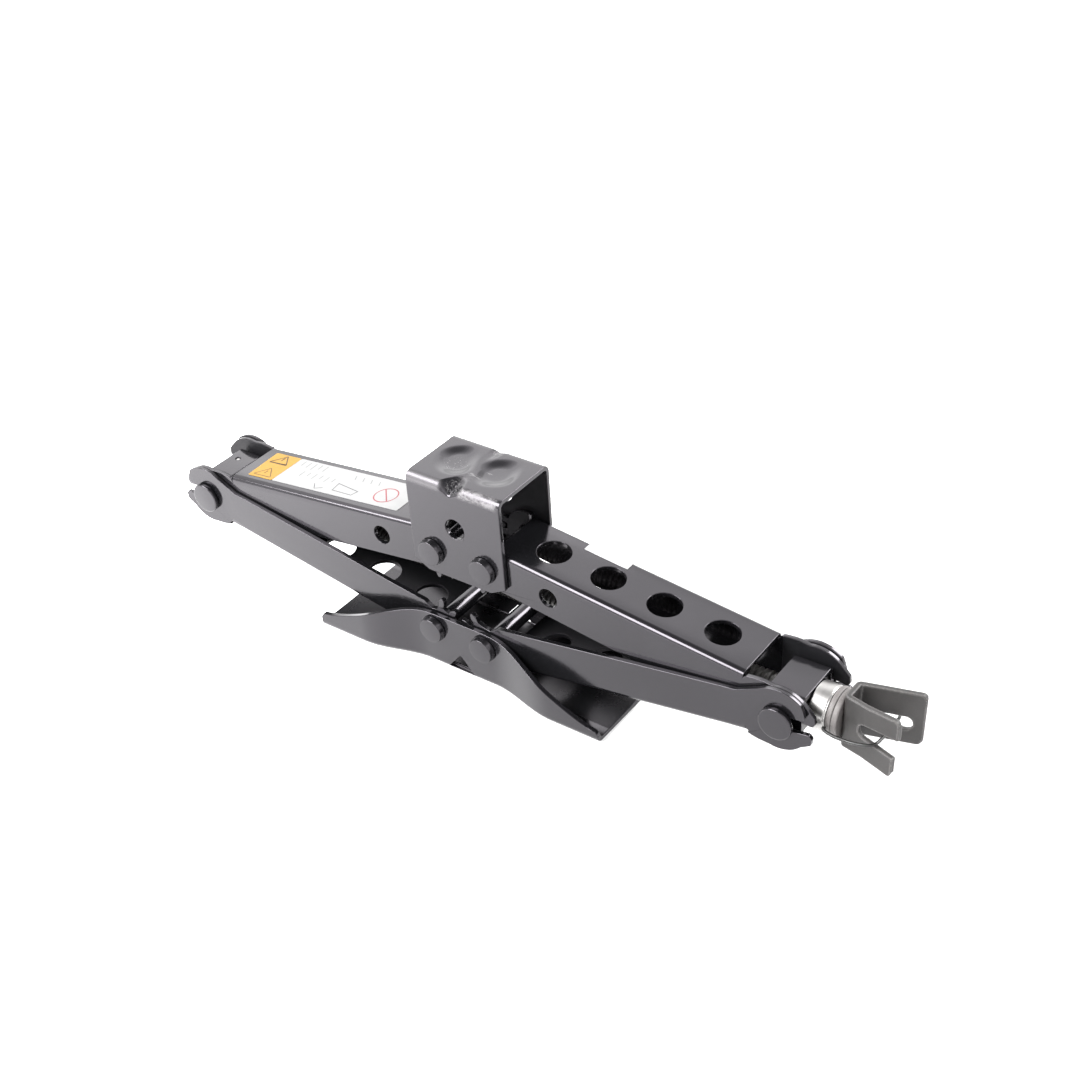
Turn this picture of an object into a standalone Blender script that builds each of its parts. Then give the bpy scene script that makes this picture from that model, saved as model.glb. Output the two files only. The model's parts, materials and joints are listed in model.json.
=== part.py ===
"""Scissor jack, folded nearly flat: base, four channel arms, saddle, lead screw and crank clevis.

Metres, +Z up. X runs along the screw towards the crank clevis, -Y is the front, and the
origin is at the middle of the base on the ground.
"""
import math

import bmesh
import bpy
from mathutils import Matrix, Vector

MM = 0.001

# Linkage: four equal arms between two pairs of centre pins and two end pins.
ARM_LENGTH = 174.6 * MM
PIN_SPACING = 34.0 * MM
BASE_PIN_Z = 25.0 * MM
REST_ANGLE = math.radians(7.87)

SHEET = 2.5 * MM
GAP = 0.3 * MM

# Half-widths across the arms, measured to the outer faces.
UPPER_HALF = 19.2 * MM
LOWER_HALF = 22.0 * MM
LOWER_HALF_AT_BASE = 24.9 * MM
FLARE_START = 30.0 * MM
FLARE_END = 145.0 * MM

# Arm channel, in the arm's own frame with +X from its centre pin to its end pin.
BEND = 3.5 * MM
SEAM = 0.03 * MM
DRILL_LENGTH = 80.0 * MM
WEB_START = 3.0 * MM
UPPER_WEB_END = 152.0 * MM
LOWER_WEB_END = 156.0 * MM
UPPER_WEB_HEIGHT = 12.4 * MM
UPPER_WEB_RISE = 3.5 * MM
LOWER_WEB_HEIGHT = 12.0 * MM
UPPER_OPEN_EDGE = 11.9 * MM
LOWER_OPEN_EDGE = 12.5 * MM
WEB_HOLE_RADIUS = 9.2 * MM
WEB_HOLE_PITCH = 33.7 * MM
UPPER_FIRST_HOLE = 28.5 * MM
LOWER_FIRST_HOLE = 24.3 * MM
WEB_HOLES = 4
FLANGE_HOLE_X = 38.8 * MM
FLANGE_HOLE_RADIUS = 5.5 * MM

# Gear sector on the centre end of each flange.
TEETH = 12
PITCH_RADIUS = PIN_SPACING / 2
TIP_RADIUS = 19.4 * MM
ROOT_RADIUS = 13.6 * MM
BACKLASH = 0.8 * MM
PRESSURE_ANGLE = math.radians(20)
HUB_RADIUS = 13.6 * MM

# Pins.
HEAD_RADIUS = 9.0 * MM
HEAD_THICKNESS = 2.9 * MM
CENTRE_HEAD_RADIUS = 7.0 * MM
CENTRE_HEAD_BASE = 8.0 * MM
CENTRE_HEAD_THICKNESS = 3.4 * MM
CENTRE_SHANK_RADIUS = 5.0 * MM
END_SHANK_RADIUS = 5.7 * MM
SPIGOT_RADIUS = 4.0 * MM
HEAD_EDGE = 0.8 * MM
SLOT_HALF = 3.8 * MM
EAR_REACH = 22.0 * MM
UPPER_LOBES = (18.3 * MM, 17.0 * MM)
LOWER_LOBES = (16.7 * MM, 18.9 * MM)

# Self-adhesive labels, held a hair off the paint.
LABEL_FILM_THICKNESS = 0.15 * MM
LABEL_CLEARANCE = 0.05 * MM

# Base plate.
BASE_SHEET = 2.8 * MM
BASE_HALF_LENGTH = 95.0 * MM
BASE_WAIST = 28.2 * MM
BASE_END = 36.3 * MM
BASE_HUMP = 34.5 * MM
BASE_LIP = 7.0 * MM
BASE_BEND = 4.0 * MM
NOTCH_HALF = 9.4 * MM
NOTCH_BOTTOM = 1.6 * MM
NOTCH_TOP = 12.0 * MM
NOTCH_TIP_LEFT = -0.8 * MM
NOTCH_TIP_RIGHT = 0.4 * MM

# Saddle bracket.
SADDLE_SHEET = 2.6 * MM
SADDLE_HALF_LENGTH = 30.3 * MM
SADDLE_HALF_WIDTH = 22.2 * MM
SADDLE_TOP = 118.5 * MM
SADDLE_BEND = 4.5 * MM
SADDLE_BOTTOM_MIDDLE = 59.2 * MM
SADDLE_BOTTOM_END = 64.2 * MM
SADDLE_CORNER = 9.5 * MM
GROOVE_HALF = 7.5 * MM
GROOVE_DEPTH = 5.3 * MM
GROOVE_SHIFT = -1.6 * MM
GROOVE_FADE_HEIGHT = 17.0 * MM
DISH_DEPTH = 1.8 * MM
DISH_X = 15.0 * MM
DISH_RADIUS = 14.0 * MM
SADDLE_HOLE_RADIUS = 6.0 * MM
SADDLE_HOLE_Z = 92.3 * MM

# Yokes on the end pins and the screw through them.
YOKE_SHEET = 3.0 * MM
YOKE_HALF = 16.2 * MM
YOKE_TOP = 12.2 * MM
YOKE_BOTTOM = 12.0 * MM
YOKE_BEND = 4.0 * MM
GAUGE_HOLE_RADIUS = 1.5 * MM
BLOCK_BOTTOM = -10.5 * MM
SCREW_RADIUS = 7.0 * MM
NECK_RADIUS = 5.0 * MM
NECK_START = 200.0 * MM
NECK_END = 216.0 * MM
THREAD_END = -199.5 * MM
BUSH_RADIUS = 12.2 * MM
BUSH_END = 209.4 * MM
BUSH_EDGE = 1.2 * MM
WASHER_RADIUS = 12.6 * MM
WASHER_START = 209.7 * MM
WASHER_END = 215.9 * MM
WASHER_EDGE = 1.6 * MM
CLEVIS_BACK = 216.3 * MM
CLEVIS_TIP = 249.0 * MM
CLEVIS_LOW = -13.3 * MM
CLEVIS_HIGH = 15.9 * MM
NEAR_SLOT_Z = 1.6 * MM
FAR_SLOT_Z = -1.9 * MM
FAR_RISE = 1.3 * MM
NEAR_TIP = 246.9 * MM
WIRE_RADIUS = 0.9 * MM
CLEVIS_SHEET = 3.0 * MM
CLEVIS_ROLL = math.radians(-4.4)

ARM_RISE = ARM_LENGTH * math.sin(REST_ANGLE)
END_PIN_X = PIN_SPACING / 2 + ARM_LENGTH * math.cos(REST_ANGLE)
END_PIN_Z = BASE_PIN_Z + ARM_RISE
SADDLE_PIN_Z = BASE_PIN_Z + 2 * ARM_RISE

STEPS = 20


def clear_scene():
    for obj in list(bpy.data.objects):
        bpy.data.objects.remove(obj, do_unlink=True)


def make_material(name, color, roughness, metallic):
    material = bpy.data.materials.new(name)
    material.use_nodes = True
    shader = material.node_tree.nodes["Principled BSDF"]
    shader.inputs["Base Color"].default_value = (*color, 1.0)
    shader.inputs["Roughness"].default_value = roughness
    shader.inputs["Metallic"].default_value = metallic
    return material


clear_scene()
COLLECTION = bpy.data.collections.new("scissor_jack")
bpy.context.scene.collection.children.link(COLLECTION)

BLACK_PAINT = make_material("black_paint", (0.012, 0.012, 0.014), 0.22, 0.0)
DARK_STEEL = make_material("dark_steel", (0.06, 0.06, 0.065), 0.4, 0.8)
ZINC = make_material("zinc_plate", (0.75, 0.75, 0.73), 0.3, 1.0)
PHOSPHATE = make_material("phosphated_steel", (0.16, 0.15, 0.13), 0.5, 0.7)
LABEL_FILM = make_material("label_film", (0.85, 0.82, 0.7), 0.4, 0.0)


# ---------------------------------------------------------------- modelling helpers

def add_object(name, mesh, material=None):
    obj = bpy.data.objects.new(name, mesh)
    COLLECTION.objects.link(obj)
    if material:
        mesh.materials.clear()
        mesh.materials.append(material)
    return obj


def bake(obj):
    """Replaces an object's data with its evaluated mesh, welded, and drops its modifiers."""
    graph = bpy.context.evaluated_depsgraph_get()
    mesh = bpy.data.meshes.new_from_object(obj.evaluated_get(graph))
    mesh.transform(obj.matrix_world)
    name = obj.name
    bpy.data.objects.remove(obj, do_unlink=True)
    work = bmesh.new()
    work.from_mesh(mesh)
    bmesh.ops.remove_doubles(work, verts=work.verts, dist=0.001 * MM)
    work.to_mesh(mesh)
    work.free()
    return add_object(name, mesh)


def combine(target, tool, operation):
    """Joins or cuts the target with the tool, which is used up."""
    bpy.context.view_layer.update()
    modifier = target.modifiers.new(operation.lower(), "BOOLEAN")
    modifier.operation = operation
    modifier.solver = "EXACT"
    modifier.object = tool
    result = bake(target)
    bpy.data.objects.remove(tool, do_unlink=True)
    return result


def finish(obj, material, smooth_angle=35):
    mesh = obj.data
    mesh.materials.clear()
    mesh.materials.append(material)
    for polygon in mesh.polygons:
        polygon.material_index = 0
    mesh.shade_smooth()
    mesh.set_sharp_from_angle(angle=math.radians(smooth_angle))
    return obj


def cylinder(name, radius, depth, centre, axis="Y", steps=STEPS):
    work = bmesh.new()
    bmesh.ops.create_cone(work, cap_ends=True, segments=steps, radius1=radius, radius2=radius,
                          depth=depth)
    mesh = bpy.data.meshes.new(name)
    work.to_mesh(mesh)
    work.free()
    if axis == "Y":
        mesh.transform(Matrix.Rotation(math.pi / 2, 4, "X"))
    elif axis == "X":
        mesh.transform(Matrix.Rotation(math.pi / 2, 4, "Y"))
    mesh.transform(Matrix.Translation(Vector(centre)))
    return add_object(name, mesh)


def box(name, low, high):
    work = bmesh.new()
    bmesh.ops.create_cube(work, size=1.0)
    size = Vector(high) - Vector(low)
    bmesh.ops.scale(work, vec=size, verts=work.verts)
    bmesh.ops.translate(work, vec=(Vector(high) + Vector(low)) / 2, verts=work.verts)
    mesh = bpy.data.meshes.new(name)
    work.to_mesh(mesh)
    work.free()
    return add_object(name, mesh)


def turned(name, profile, axis="Y", steps=STEPS):
    """Turns a profile of (radius, place along the axis) from its top end to its bottom end."""
    mesh = bpy.data.meshes.new(name)
    mesh.from_pydata([(radius, 0, place) for radius, place in profile],
                     [(i, i + 1) for i in range(len(profile) - 1)], [])
    obj = add_object(name, mesh)
    screw = obj.modifiers.new("turn", "SCREW")
    screw.axis = "Z"
    screw.steps = steps
    screw.render_steps = steps
    screw.use_merge_vertices = True
    screw.merge_threshold = 0.00001
    obj = bake(obj)
    if axis == "Y":
        obj.data.transform(Matrix.Rotation(math.pi / 2, 4, "X"))
    elif axis == "X":
        obj.data.transform(Matrix.Rotation(math.pi / 2, 4, "Y"))
    return obj


def flat_plate(name, outlines, thickness, middle_y):
    """Extrudes closed (x, z) outlines, the first one solid and the others holes, along Y."""
    curve = bpy.data.curves.new(name, "CURVE")
    curve.dimensions = "2D"
    curve.fill_mode = "BOTH"
    curve.extrude = thickness / 2
    for outline in outlines:
        spline = curve.splines.new("POLY")
        spline.points.add(len(outline) - 1)
        for point, (x, z) in zip(spline.points, outline):
            point.co = (x, z, 0, 1)
        spline.use_cyclic_u = True
    obj = bpy.data.objects.new(name, curve)
    COLLECTION.objects.link(obj)
    obj.rotation_euler = (math.pi / 2, 0, 0)
    obj.location = (0, middle_y, 0)
    bpy.context.view_layer.update()
    return bake(obj)


def arc(centre, radius, start, end, steps):
    """Points on an arc, angles in degrees, x to the right and z up."""
    points = []
    for step in range(steps + 1):
        angle = math.radians(start + (end - start) * step / steps)
        points.append((centre[0] + radius * math.cos(angle), centre[1] + radius * math.sin(angle)))
    return points


def circle(centre, radius, steps=STEPS):
    return arc(centre, radius, 0, 360 * (steps - 1) / steps, steps - 1)


def folded_sheet(name, sections, thickness, outward):
    """A shell through open sections of equal length, thickened inwards.

    outward is a direction that the middle of the outer face looks along.
    """
    work = bmesh.new()
    rows = [[work.verts.new(point) for point in section] for section in sections]
    for row, following in zip(rows, rows[1:]):
        for i in range(len(row) - 1):
            work.faces.new((row[i], row[i + 1], following[i + 1], following[i]))
    bmesh.ops.recalc_face_normals(work, faces=work.faces)
    work.faces.ensure_lookup_table()
    middle = min(work.faces, key=lambda face: abs(face.calc_center_median().y))
    if middle.normal.dot(Vector(outward)) < 0:
        bmesh.ops.reverse_faces(work, faces=work.faces)
    mesh = bpy.data.meshes.new(name)
    work.to_mesh(mesh)
    work.free()
    obj = add_object(name, mesh)
    shell = obj.modifiers.new("sheet", "SOLIDIFY")
    shell.thickness = thickness
    shell.offset = -1
    shell.use_even_offset = True
    return bake(obj)


def place(objects, location, tilt=0.0, turn=0.0, name=None):
    """Hangs a body's objects on an empty at its joint."""
    empty = bpy.data.objects.new(name, None)
    COLLECTION.objects.link(empty)
    empty.empty_display_size = 0.02
    empty.location = location
    empty.rotation_euler = (0, tilt, turn)
    for obj in objects:
        obj.parent = empty
    return empty


# ---------------------------------------------------------------- base

def base_half_width(x):
    blend = min(max((abs(x) - 22 * MM) / (42 * MM), 0), 1)
    return BASE_WAIST + (BASE_END - BASE_WAIST) * blend * blend * (3 - 2 * blend)


def base_flange_height(x):
    blend = min(max((abs(x) - 15 * MM) / (80 * MM), 0), 1)
    return BASE_LIP + (BASE_HUMP - BASE_LIP) * max(math.cos(math.pi / 2 * blend), 0) ** 1.6


def base_section(x):
    half = base_half_width(x)
    side = [(half, base_flange_height(x))]
    side += arc((half - BASE_BEND, BASE_BEND), BASE_BEND, 0, -90, 3)
    return [(x, -y, z) for y, z in side] + [(x, y, z) for y, z in reversed(side)]


def build_base():
    stations = 36
    xs = [BASE_HALF_LENGTH * (2 * i / stations - 1) for i in range(stations + 1)]
    base = folded_sheet("base_plate", [base_section(x) for x in xs], BASE_SHEET, (0, 0, -1))
    notch = [(-NOTCH_HALF, NOTCH_BOTTOM), (NOTCH_HALF, NOTCH_BOTTOM), (NOTCH_TIP_RIGHT, NOTCH_TOP),
             (NOTCH_TIP_LEFT, NOTCH_TOP)]
    inner_face = BASE_WAIST - BASE_SHEET
    reach = 8 * MM
    overshoot = 0.2 * MM
    for side in (-1, 1):
        middle = side * (inner_face + reach / 2 - overshoot)
        cutter = flat_plate("notch", [notch], reach, middle)
        base = combine(base, cutter, "DIFFERENCE")
    for side in (-1, 1):
        bore = cylinder("bore", CENTRE_SHANK_RADIUS + GAP, DRILL_LENGTH,
                        (side * PIN_SPACING / 2, 0, BASE_PIN_Z))
        base = combine(base, bore, "DIFFERENCE")
    return finish(base, BLACK_PAINT)


def centre_pin(name, head_inner):
    """A rivet with a head at each end, lying along Y about its own middle."""
    outer = head_inner + CENTRE_HEAD_THICKNESS
    half = [(0, outer), (CENTRE_HEAD_RADIUS - HEAD_EDGE, outer), (CENTRE_HEAD_RADIUS, outer - HEAD_EDGE),
            (CENTRE_HEAD_BASE, head_inner), (CENTRE_SHANK_RADIUS, head_inner)]
    profile = half + [(radius, -y) for radius, y in reversed(half)]
    return finish(turned(name, profile), BLACK_PAINT)


# ---------------------------------------------------------------- arms

def polar(radius, angle):
    """A point at an angle in degrees from the arm's direction towards its open side."""
    return (radius * math.cos(math.radians(angle)), -radius * math.sin(math.radians(angle)))


def tooth(middle):
    """One involute tooth about the hub, its middle at an angle in degrees."""
    base_circle = PITCH_RADIUS * math.cos(PRESSURE_ANGLE)
    involute_at_pitch = math.tan(PRESSURE_ANGLE) - PRESSURE_ANGLE
    half_at_pitch = math.pi / (2 * TEETH) - BACKLASH / (2 * PITCH_RADIUS)
    flank = []
    for radius in (ROOT_RADIUS, base_circle, PITCH_RADIUS, (PITCH_RADIUS + TIP_RADIUS) / 2, TIP_RADIUS):
        pressure = math.acos(min(base_circle / radius, 1))
        half = half_at_pitch + involute_at_pitch - (math.tan(pressure) - pressure)
        flank.append((radius, math.degrees(half)))
    rising = [polar(radius, middle - half) for radius, half in flank]
    falling = [polar(radius, middle + half) for radius, half in reversed(flank)]
    return rising + falling


def ear_outline(web_height, web_lobe, open_lobe):
    """The hook around an end pin, from the web side round to the open side."""
    bore = END_SHANK_RADIUS + GAP
    mouth = math.sqrt(bore * bore - SLOT_HALF * SLOT_HALF)
    mouth_angle = math.degrees(math.asin(SLOT_HALF / bore))
    points = [(-18.0 * MM, web_height), (-12.5 * MM, (web_height + web_lobe) / 2)]
    points += arc((0, 0), web_lobe, 110, 48, 7)
    points += [(17.4 * MM, 9.0 * MM), (17.9 * MM, 6.0 * MM), (16.6 * MM, SLOT_HALF), (mouth, SLOT_HALF)]
    points += arc((0, 0), bore, mouth_angle + 18, 342 - mouth_angle, 12)
    points += [(mouth, -SLOT_HALF), (13.2 * MM, -SLOT_HALF), (15.2 * MM, -6.0 * MM), (14.8 * MM, -9.5 * MM)]
    points += arc((0, 0), open_lobe, -42, -118, 8)
    return [(ARM_LENGTH + x, z) for x, z in points]


RELIEF = [(6.8 * MM, -11.0 * MM), (4.0 * MM, -9.8 * MM), (1.2 * MM, -10.6 * MM)]
FILLED = [polar(HUB_RADIUS, 62), polar(HUB_RADIUS, 68)]


def flange_outline(web_heights, open_edge, lobes, first_tooth, tooth_count, before_teeth):
    """A whole flange in the arm's frame, the web on the +z side."""
    points = [(9.5 * MM, -open_edge)] + before_teeth
    for index in range(tooth_count):
        points += tooth(first_tooth + index * 360 / TEETH)
    last = first_tooth + (tooth_count - 1) * 360 / TEETH
    points += [polar(HUB_RADIUS, last + 17 + step * (278 - last - 17) / 6) for step in range(7)]
    web_start, web_end = web_heights
    drop = BEND + 0.5 * MM
    inset = 1 * MM
    points += [(WEB_START + inset, web_start[1] - drop), (web_end[0] - inset, web_end[1] - drop)]
    points += ear_outline(web_end[1], *lobes)
    points += [(ARM_LENGTH - EAR_REACH, -open_edge)]
    return points


def web_channel(name, half, web_heights):
    """The web with its two bends and short lips, the outer face on +z.

    It sits a hair inside the flanges' planes, so that joining them meets no shared plane.
    """
    sections = []
    half = half - SEAM
    for x, height in web_heights:
        side = [(half, height - BEND - 1.5 * MM)]
        side += [(half - BEND + y, height - BEND + z)
                 for y, z in arc((0, 0), BEND, 0, 90, 4)]
        sections.append([(x, -y, z) for y, z in side] + [(x, y, z) for y, z in reversed(side)])
    return folded_sheet(name, sections, SHEET, (0, 0, 1))


def build_arm(name, half, web_heights, open_edge, lobes, first_tooth, tooth_count,
              before_teeth, first_hole, flange_hole):
    """An arm with its web on +z: two flanges, the web, and the holes in them."""
    outline = flange_outline(web_heights, open_edge, lobes, first_tooth, tooth_count, before_teeth)
    holes = [circle((0, 0), CENTRE_SHANK_RADIUS + GAP, 16)]
    if flange_hole:
        holes.append(circle((FLANGE_HOLE_X, 0), FLANGE_HOLE_RADIUS, 16))
    arm = web_channel(name, half, web_heights)
    for side in (-1, 1):
        flange = flat_plate("flange", [outline] + holes, SHEET, side * (half - SHEET / 2))
        arm = combine(arm, flange, "UNION")
    if first_hole:
        for index in range(WEB_HOLES):
            x = first_hole + index * WEB_HOLE_PITCH
            cutter = cylinder("hole", WEB_HOLE_RADIUS, 20 * MM, (x, 0, web_heights[0][1]), "Z", 24)
            arm = combine(arm, cutter, "DIFFERENCE")
    return arm


def flip_z(obj):
    obj.data.transform(Matrix.Scale(-1, 4, (0, 0, 1)))
    obj.data.flip_normals()
    return obj


def flare(obj, start, end, scale_at_start):
    """Widens an arm towards its centre pin: full scale up to start, none from end on."""
    work = bmesh.new()
    work.from_mesh(obj.data)
    for x in (start, end):
        geometry = work.verts[:] + work.edges[:] + work.faces[:]
        bmesh.ops.bisect_plane(work, geom=geometry, dist=0.001 * MM, plane_co=(x, 0, 0),
                               plane_no=(1, 0, 0))
    for vert in work.verts:
        blend = min(max((end - vert.co.x) / (end - start), 0), 1)
        vert.co.y *= 1 + (scale_at_start - 1) * blend
    bmesh.ops.remove_doubles(work, verts=work.verts, dist=0.01 * MM)
    work.to_mesh(obj.data)
    work.free()
    return obj


def upper_arm(name, first_tooth, tooth_count, first_hole):
    heights = ((WEB_START, UPPER_WEB_HEIGHT), (UPPER_WEB_END, UPPER_WEB_HEIGHT + UPPER_WEB_RISE))
    arm = build_arm(name, UPPER_HALF, heights, UPPER_OPEN_EDGE, UPPER_LOBES,
                    first_tooth, tooth_count, FILLED, first_hole, True)
    return finish(arm, BLACK_PAINT)


def lower_arm(name, first_tooth, tooth_count):
    heights = ((WEB_START, LOWER_WEB_HEIGHT), (LOWER_WEB_END, LOWER_WEB_HEIGHT))
    arm = build_arm(name, LOWER_HALF, heights, LOWER_OPEN_EDGE, LOWER_LOBES,
                    first_tooth, tooth_count, RELIEF, LOWER_FIRST_HOLE, False)
    arm = flip_z(arm)
    arm = flare(arm, FLARE_START, FLARE_END, LOWER_HALF_AT_BASE / LOWER_HALF)
    return finish(arm, BLACK_PAINT)


def upper_web_height(x):
    """The outer face of an upper arm's web at a distance from its centre pin."""
    along = (x - WEB_START) / (UPPER_WEB_END - WEB_START)
    return UPPER_WEB_HEIGHT + UPPER_WEB_RISE * along


def label(name, span, widths):
    """A film stuck on an upper arm's web, from one arm station to another.

    widths are the two edges across the arm; an edge past the bend runs down the flange.
    """
    lift = LABEL_FILM_THICKNESS + LABEL_CLEARANCE
    flat_edge = UPPER_HALF - BEND
    sections = []
    for x in span:
        top = upper_web_height(x)
        low_edge, high_edge = widths
        row = [(x, low_edge, top + lift), (x, (low_edge + min(high_edge, flat_edge)) / 2, top + lift)]
        if high_edge > flat_edge:
            row += [(x, flat_edge + y, top - BEND + z) for y, z in arc((0, 0), BEND + lift, 90, 0, 5)]
            row += [(x, UPPER_HALF + lift, top - BEND - 1 * MM)]
        else:
            row += [(x, high_edge, top + lift)]
        sections.append(row)
    return finish(folded_sheet(name, sections, LABEL_FILM_THICKNESS, (0, 0, 1)), LABEL_FILM)


# ---------------------------------------------------------------- saddle

def saddle_dip(x, y, z):
    """How far the load groove and the two dishes pull a point of the saddle down."""
    towards_back = (y + SADDLE_HALF_WIDTH) / (2 * SADDLE_HALF_WIDTH)
    half = GROOVE_HALF * (1 - 0.4 * towards_back)
    depth = GROOVE_DEPTH * (1 - 0.7 * towards_back)
    from_middle = abs(x - GROOVE_SHIFT * (1 - towards_back))
    groove = max(1 - from_middle / half, 0) * depth * (0.4 + 0.6 * min(abs(y) / (12 * MM), 1))
    spread = ((abs(x) - DISH_X) ** 2 + y * y) / DISH_RADIUS ** 2
    dish = DISH_DEPTH * max(1 - spread, 0) ** 2
    fade = min(max((z - (SADDLE_TOP - GROOVE_FADE_HEIGHT)) / GROOVE_FADE_HEIGHT, 0), 1)
    return (groove + dish) * fade


def saddle_section(x):
    taper = min(max((SADDLE_HALF_LENGTH - abs(x)) / SADDLE_CORNER, 0), 1)
    bottom = SADDLE_BOTTOM_END + (SADDLE_BOTTOM_MIDDLE - SADDLE_BOTTOM_END) * taper
    inner = SADDLE_HALF_WIDTH - SADDLE_BEND
    side = [(SADDLE_HALF_WIDTH, bottom), (SADDLE_HALF_WIDTH, SADDLE_TOP - GROOVE_FADE_HEIGHT)]
    side += arc((inner, SADDLE_TOP - SADDLE_BEND), SADDLE_BEND, 0, 90, 4)
    side += [(12 * MM, SADDLE_TOP), (6 * MM, SADDLE_TOP)]
    points = [(x, -y, z) for y, z in side] + [(x, 0, SADDLE_TOP)]
    points += [(x, y, z) for y, z in reversed(side)]
    return [(px, py, pz - saddle_dip(px, py, pz)) for px, py, pz in points]


def build_saddle():
    corner = SADDLE_HALF_LENGTH - SADDLE_CORNER
    outer = [11 * MM, DISH_X, corner, (corner + SADDLE_HALF_LENGTH) / 2, SADDLE_HALF_LENGTH]
    left_of_groove = GROOVE_SHIFT - GROOVE_HALF
    groove = [left_of_groove, left_of_groove / 2, GROOVE_SHIFT, 0, GROOVE_HALF / 3, 2 * GROOVE_HALF / 3,
              GROOVE_HALF]
    xs = [-x for x in reversed(outer)] + groove + outer
    saddle = folded_sheet("saddle_bracket", [saddle_section(x) for x in xs], SADDLE_SHEET, (0, 0, 1))
    for side in (-1, 1):
        bore = cylinder("bore", CENTRE_SHANK_RADIUS + GAP, DRILL_LENGTH,
                        (side * PIN_SPACING / 2, 0, SADDLE_PIN_Z))
        saddle = combine(saddle, bore, "DIFFERENCE")
    hole = cylinder("hole", SADDLE_HOLE_RADIUS, DRILL_LENGTH, (0, 0, SADDLE_HOLE_Z))
    saddle = combine(saddle, hole, "DIFFERENCE")
    saddle.data.transform(Matrix.Translation((PIN_SPACING / 2, 0, -SADDLE_PIN_Z)))
    return finish(saddle, BLACK_PAINT)


# ---------------------------------------------------------------- yokes, pins and screw

def yoke(name, low_x, high_x, top_hole=None):
    """A strip folded into an inverted U about the end pin, cheeks drilled for the pins."""
    side = [(YOKE_HALF, -YOKE_BOTTOM)]
    side += arc((YOKE_HALF - YOKE_BEND, YOKE_TOP - YOKE_BEND), YOKE_BEND, 0, 90, 3)
    sections = []
    for x in (low_x, high_x):
        sections.append([(x, -y, z) for y, z in side] + [(x, y, z) for y, z in reversed(side)])
    body = folded_sheet(name, sections, YOKE_SHEET, (0, 0, 1))
    bore = cylinder("bore", SPIGOT_RADIUS + GAP, DRILL_LENGTH, (0, 0, 0))
    body = combine(body, bore, "DIFFERENCE")
    if top_hole:
        gauge = cylinder("gauge", GAUGE_HOLE_RADIUS, 10 * MM, (*top_hole, YOKE_TOP), "Z", 12)
        body = combine(body, gauge, "DIFFERENCE")
    return finish(body, BLACK_PAINT)


def bored_block(name, low, high, bore_radius, material):
    """A steel block inside a yoke, bored along the screw."""
    block = box(name, low, high)
    bore = cylinder("bore", bore_radius, DRILL_LENGTH, (0, 0, 0), "X")
    return finish(combine(block, bore, "DIFFERENCE"), material)


def end_pin(name, side):
    """A headed pin through both ears, its spigot in the yoke's cheek."""
    head_inner = LOWER_HALF + GAP
    head_outer = head_inner + HEAD_THICKNESS
    shoulder = YOKE_HALF + GAP
    tail = YOKE_HALF - YOKE_SHEET - 0.2 * MM
    profile = [(0, head_outer), (HEAD_RADIUS - HEAD_EDGE, head_outer), (HEAD_RADIUS, head_outer - HEAD_EDGE),
               (HEAD_RADIUS, head_inner), (END_SHANK_RADIUS, head_inner), (END_SHANK_RADIUS, shoulder),
               (SPIGOT_RADIUS, shoulder), (SPIGOT_RADIUS, tail), (0, tail)]
    pin = turned(name, profile)
    if side > 0:
        pin.data.transform(Matrix.Rotation(math.pi, 4, "Z"))
    return finish(pin, BLACK_PAINT)


def from_end_pin(x):
    """A place along the screw measured from the right end pin."""
    return x - END_PIN_X


def build_screw():
    neck_edge = 0.5 * MM
    thread_edge = 1.5 * MM
    profile = [(0, NECK_END), (NECK_RADIUS - neck_edge, NECK_END), (NECK_RADIUS, NECK_END - neck_edge),
               (NECK_RADIUS, NECK_START), (SCREW_RADIUS, NECK_START),
               (SCREW_RADIUS, THREAD_END + thread_edge), (SCREW_RADIUS - thread_edge, THREAD_END),
               (0, THREAD_END)]
    screw = turned("lead_screw", [(radius, from_end_pin(x)) for radius, x in profile], "X", 32)
    return finish(screw, DARK_STEEL)


def ring(name, low_x, high_x, radius, bore, material, edge):
    """A bush or washer around the screw's neck, with rounded outer corners."""
    profile = [(bore, high_x), (radius - edge, high_x), (radius, high_x - edge), (radius, low_x + edge),
               (radius - edge, low_x), (bore, low_x), (bore, high_x)]
    return finish(turned(name, [(r, from_end_pin(x)) for r, x in profile], "X", 32), material)


def shape_clevis(clevis, back, slot_back, tip):
    """Lifts the far cheek towards its tip, and spreads the fork's two fingers."""
    for vert in clevis.data.vertices:
        if vert.co.y > 0:
            vert.co.z += FAR_RISE * (vert.co.x - back) / (tip - back)
        elif vert.co.x > slot_back:
            along = (vert.co.x - slot_back) / (tip - slot_back)
            vert.co.y += along * (2.4 * MM if vert.co.z > NEAR_SLOT_Z else -2.2 * MM)
    clevis.data.transform(Matrix.Rotation(CLEVIS_ROLL, 4, "X"))


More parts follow.
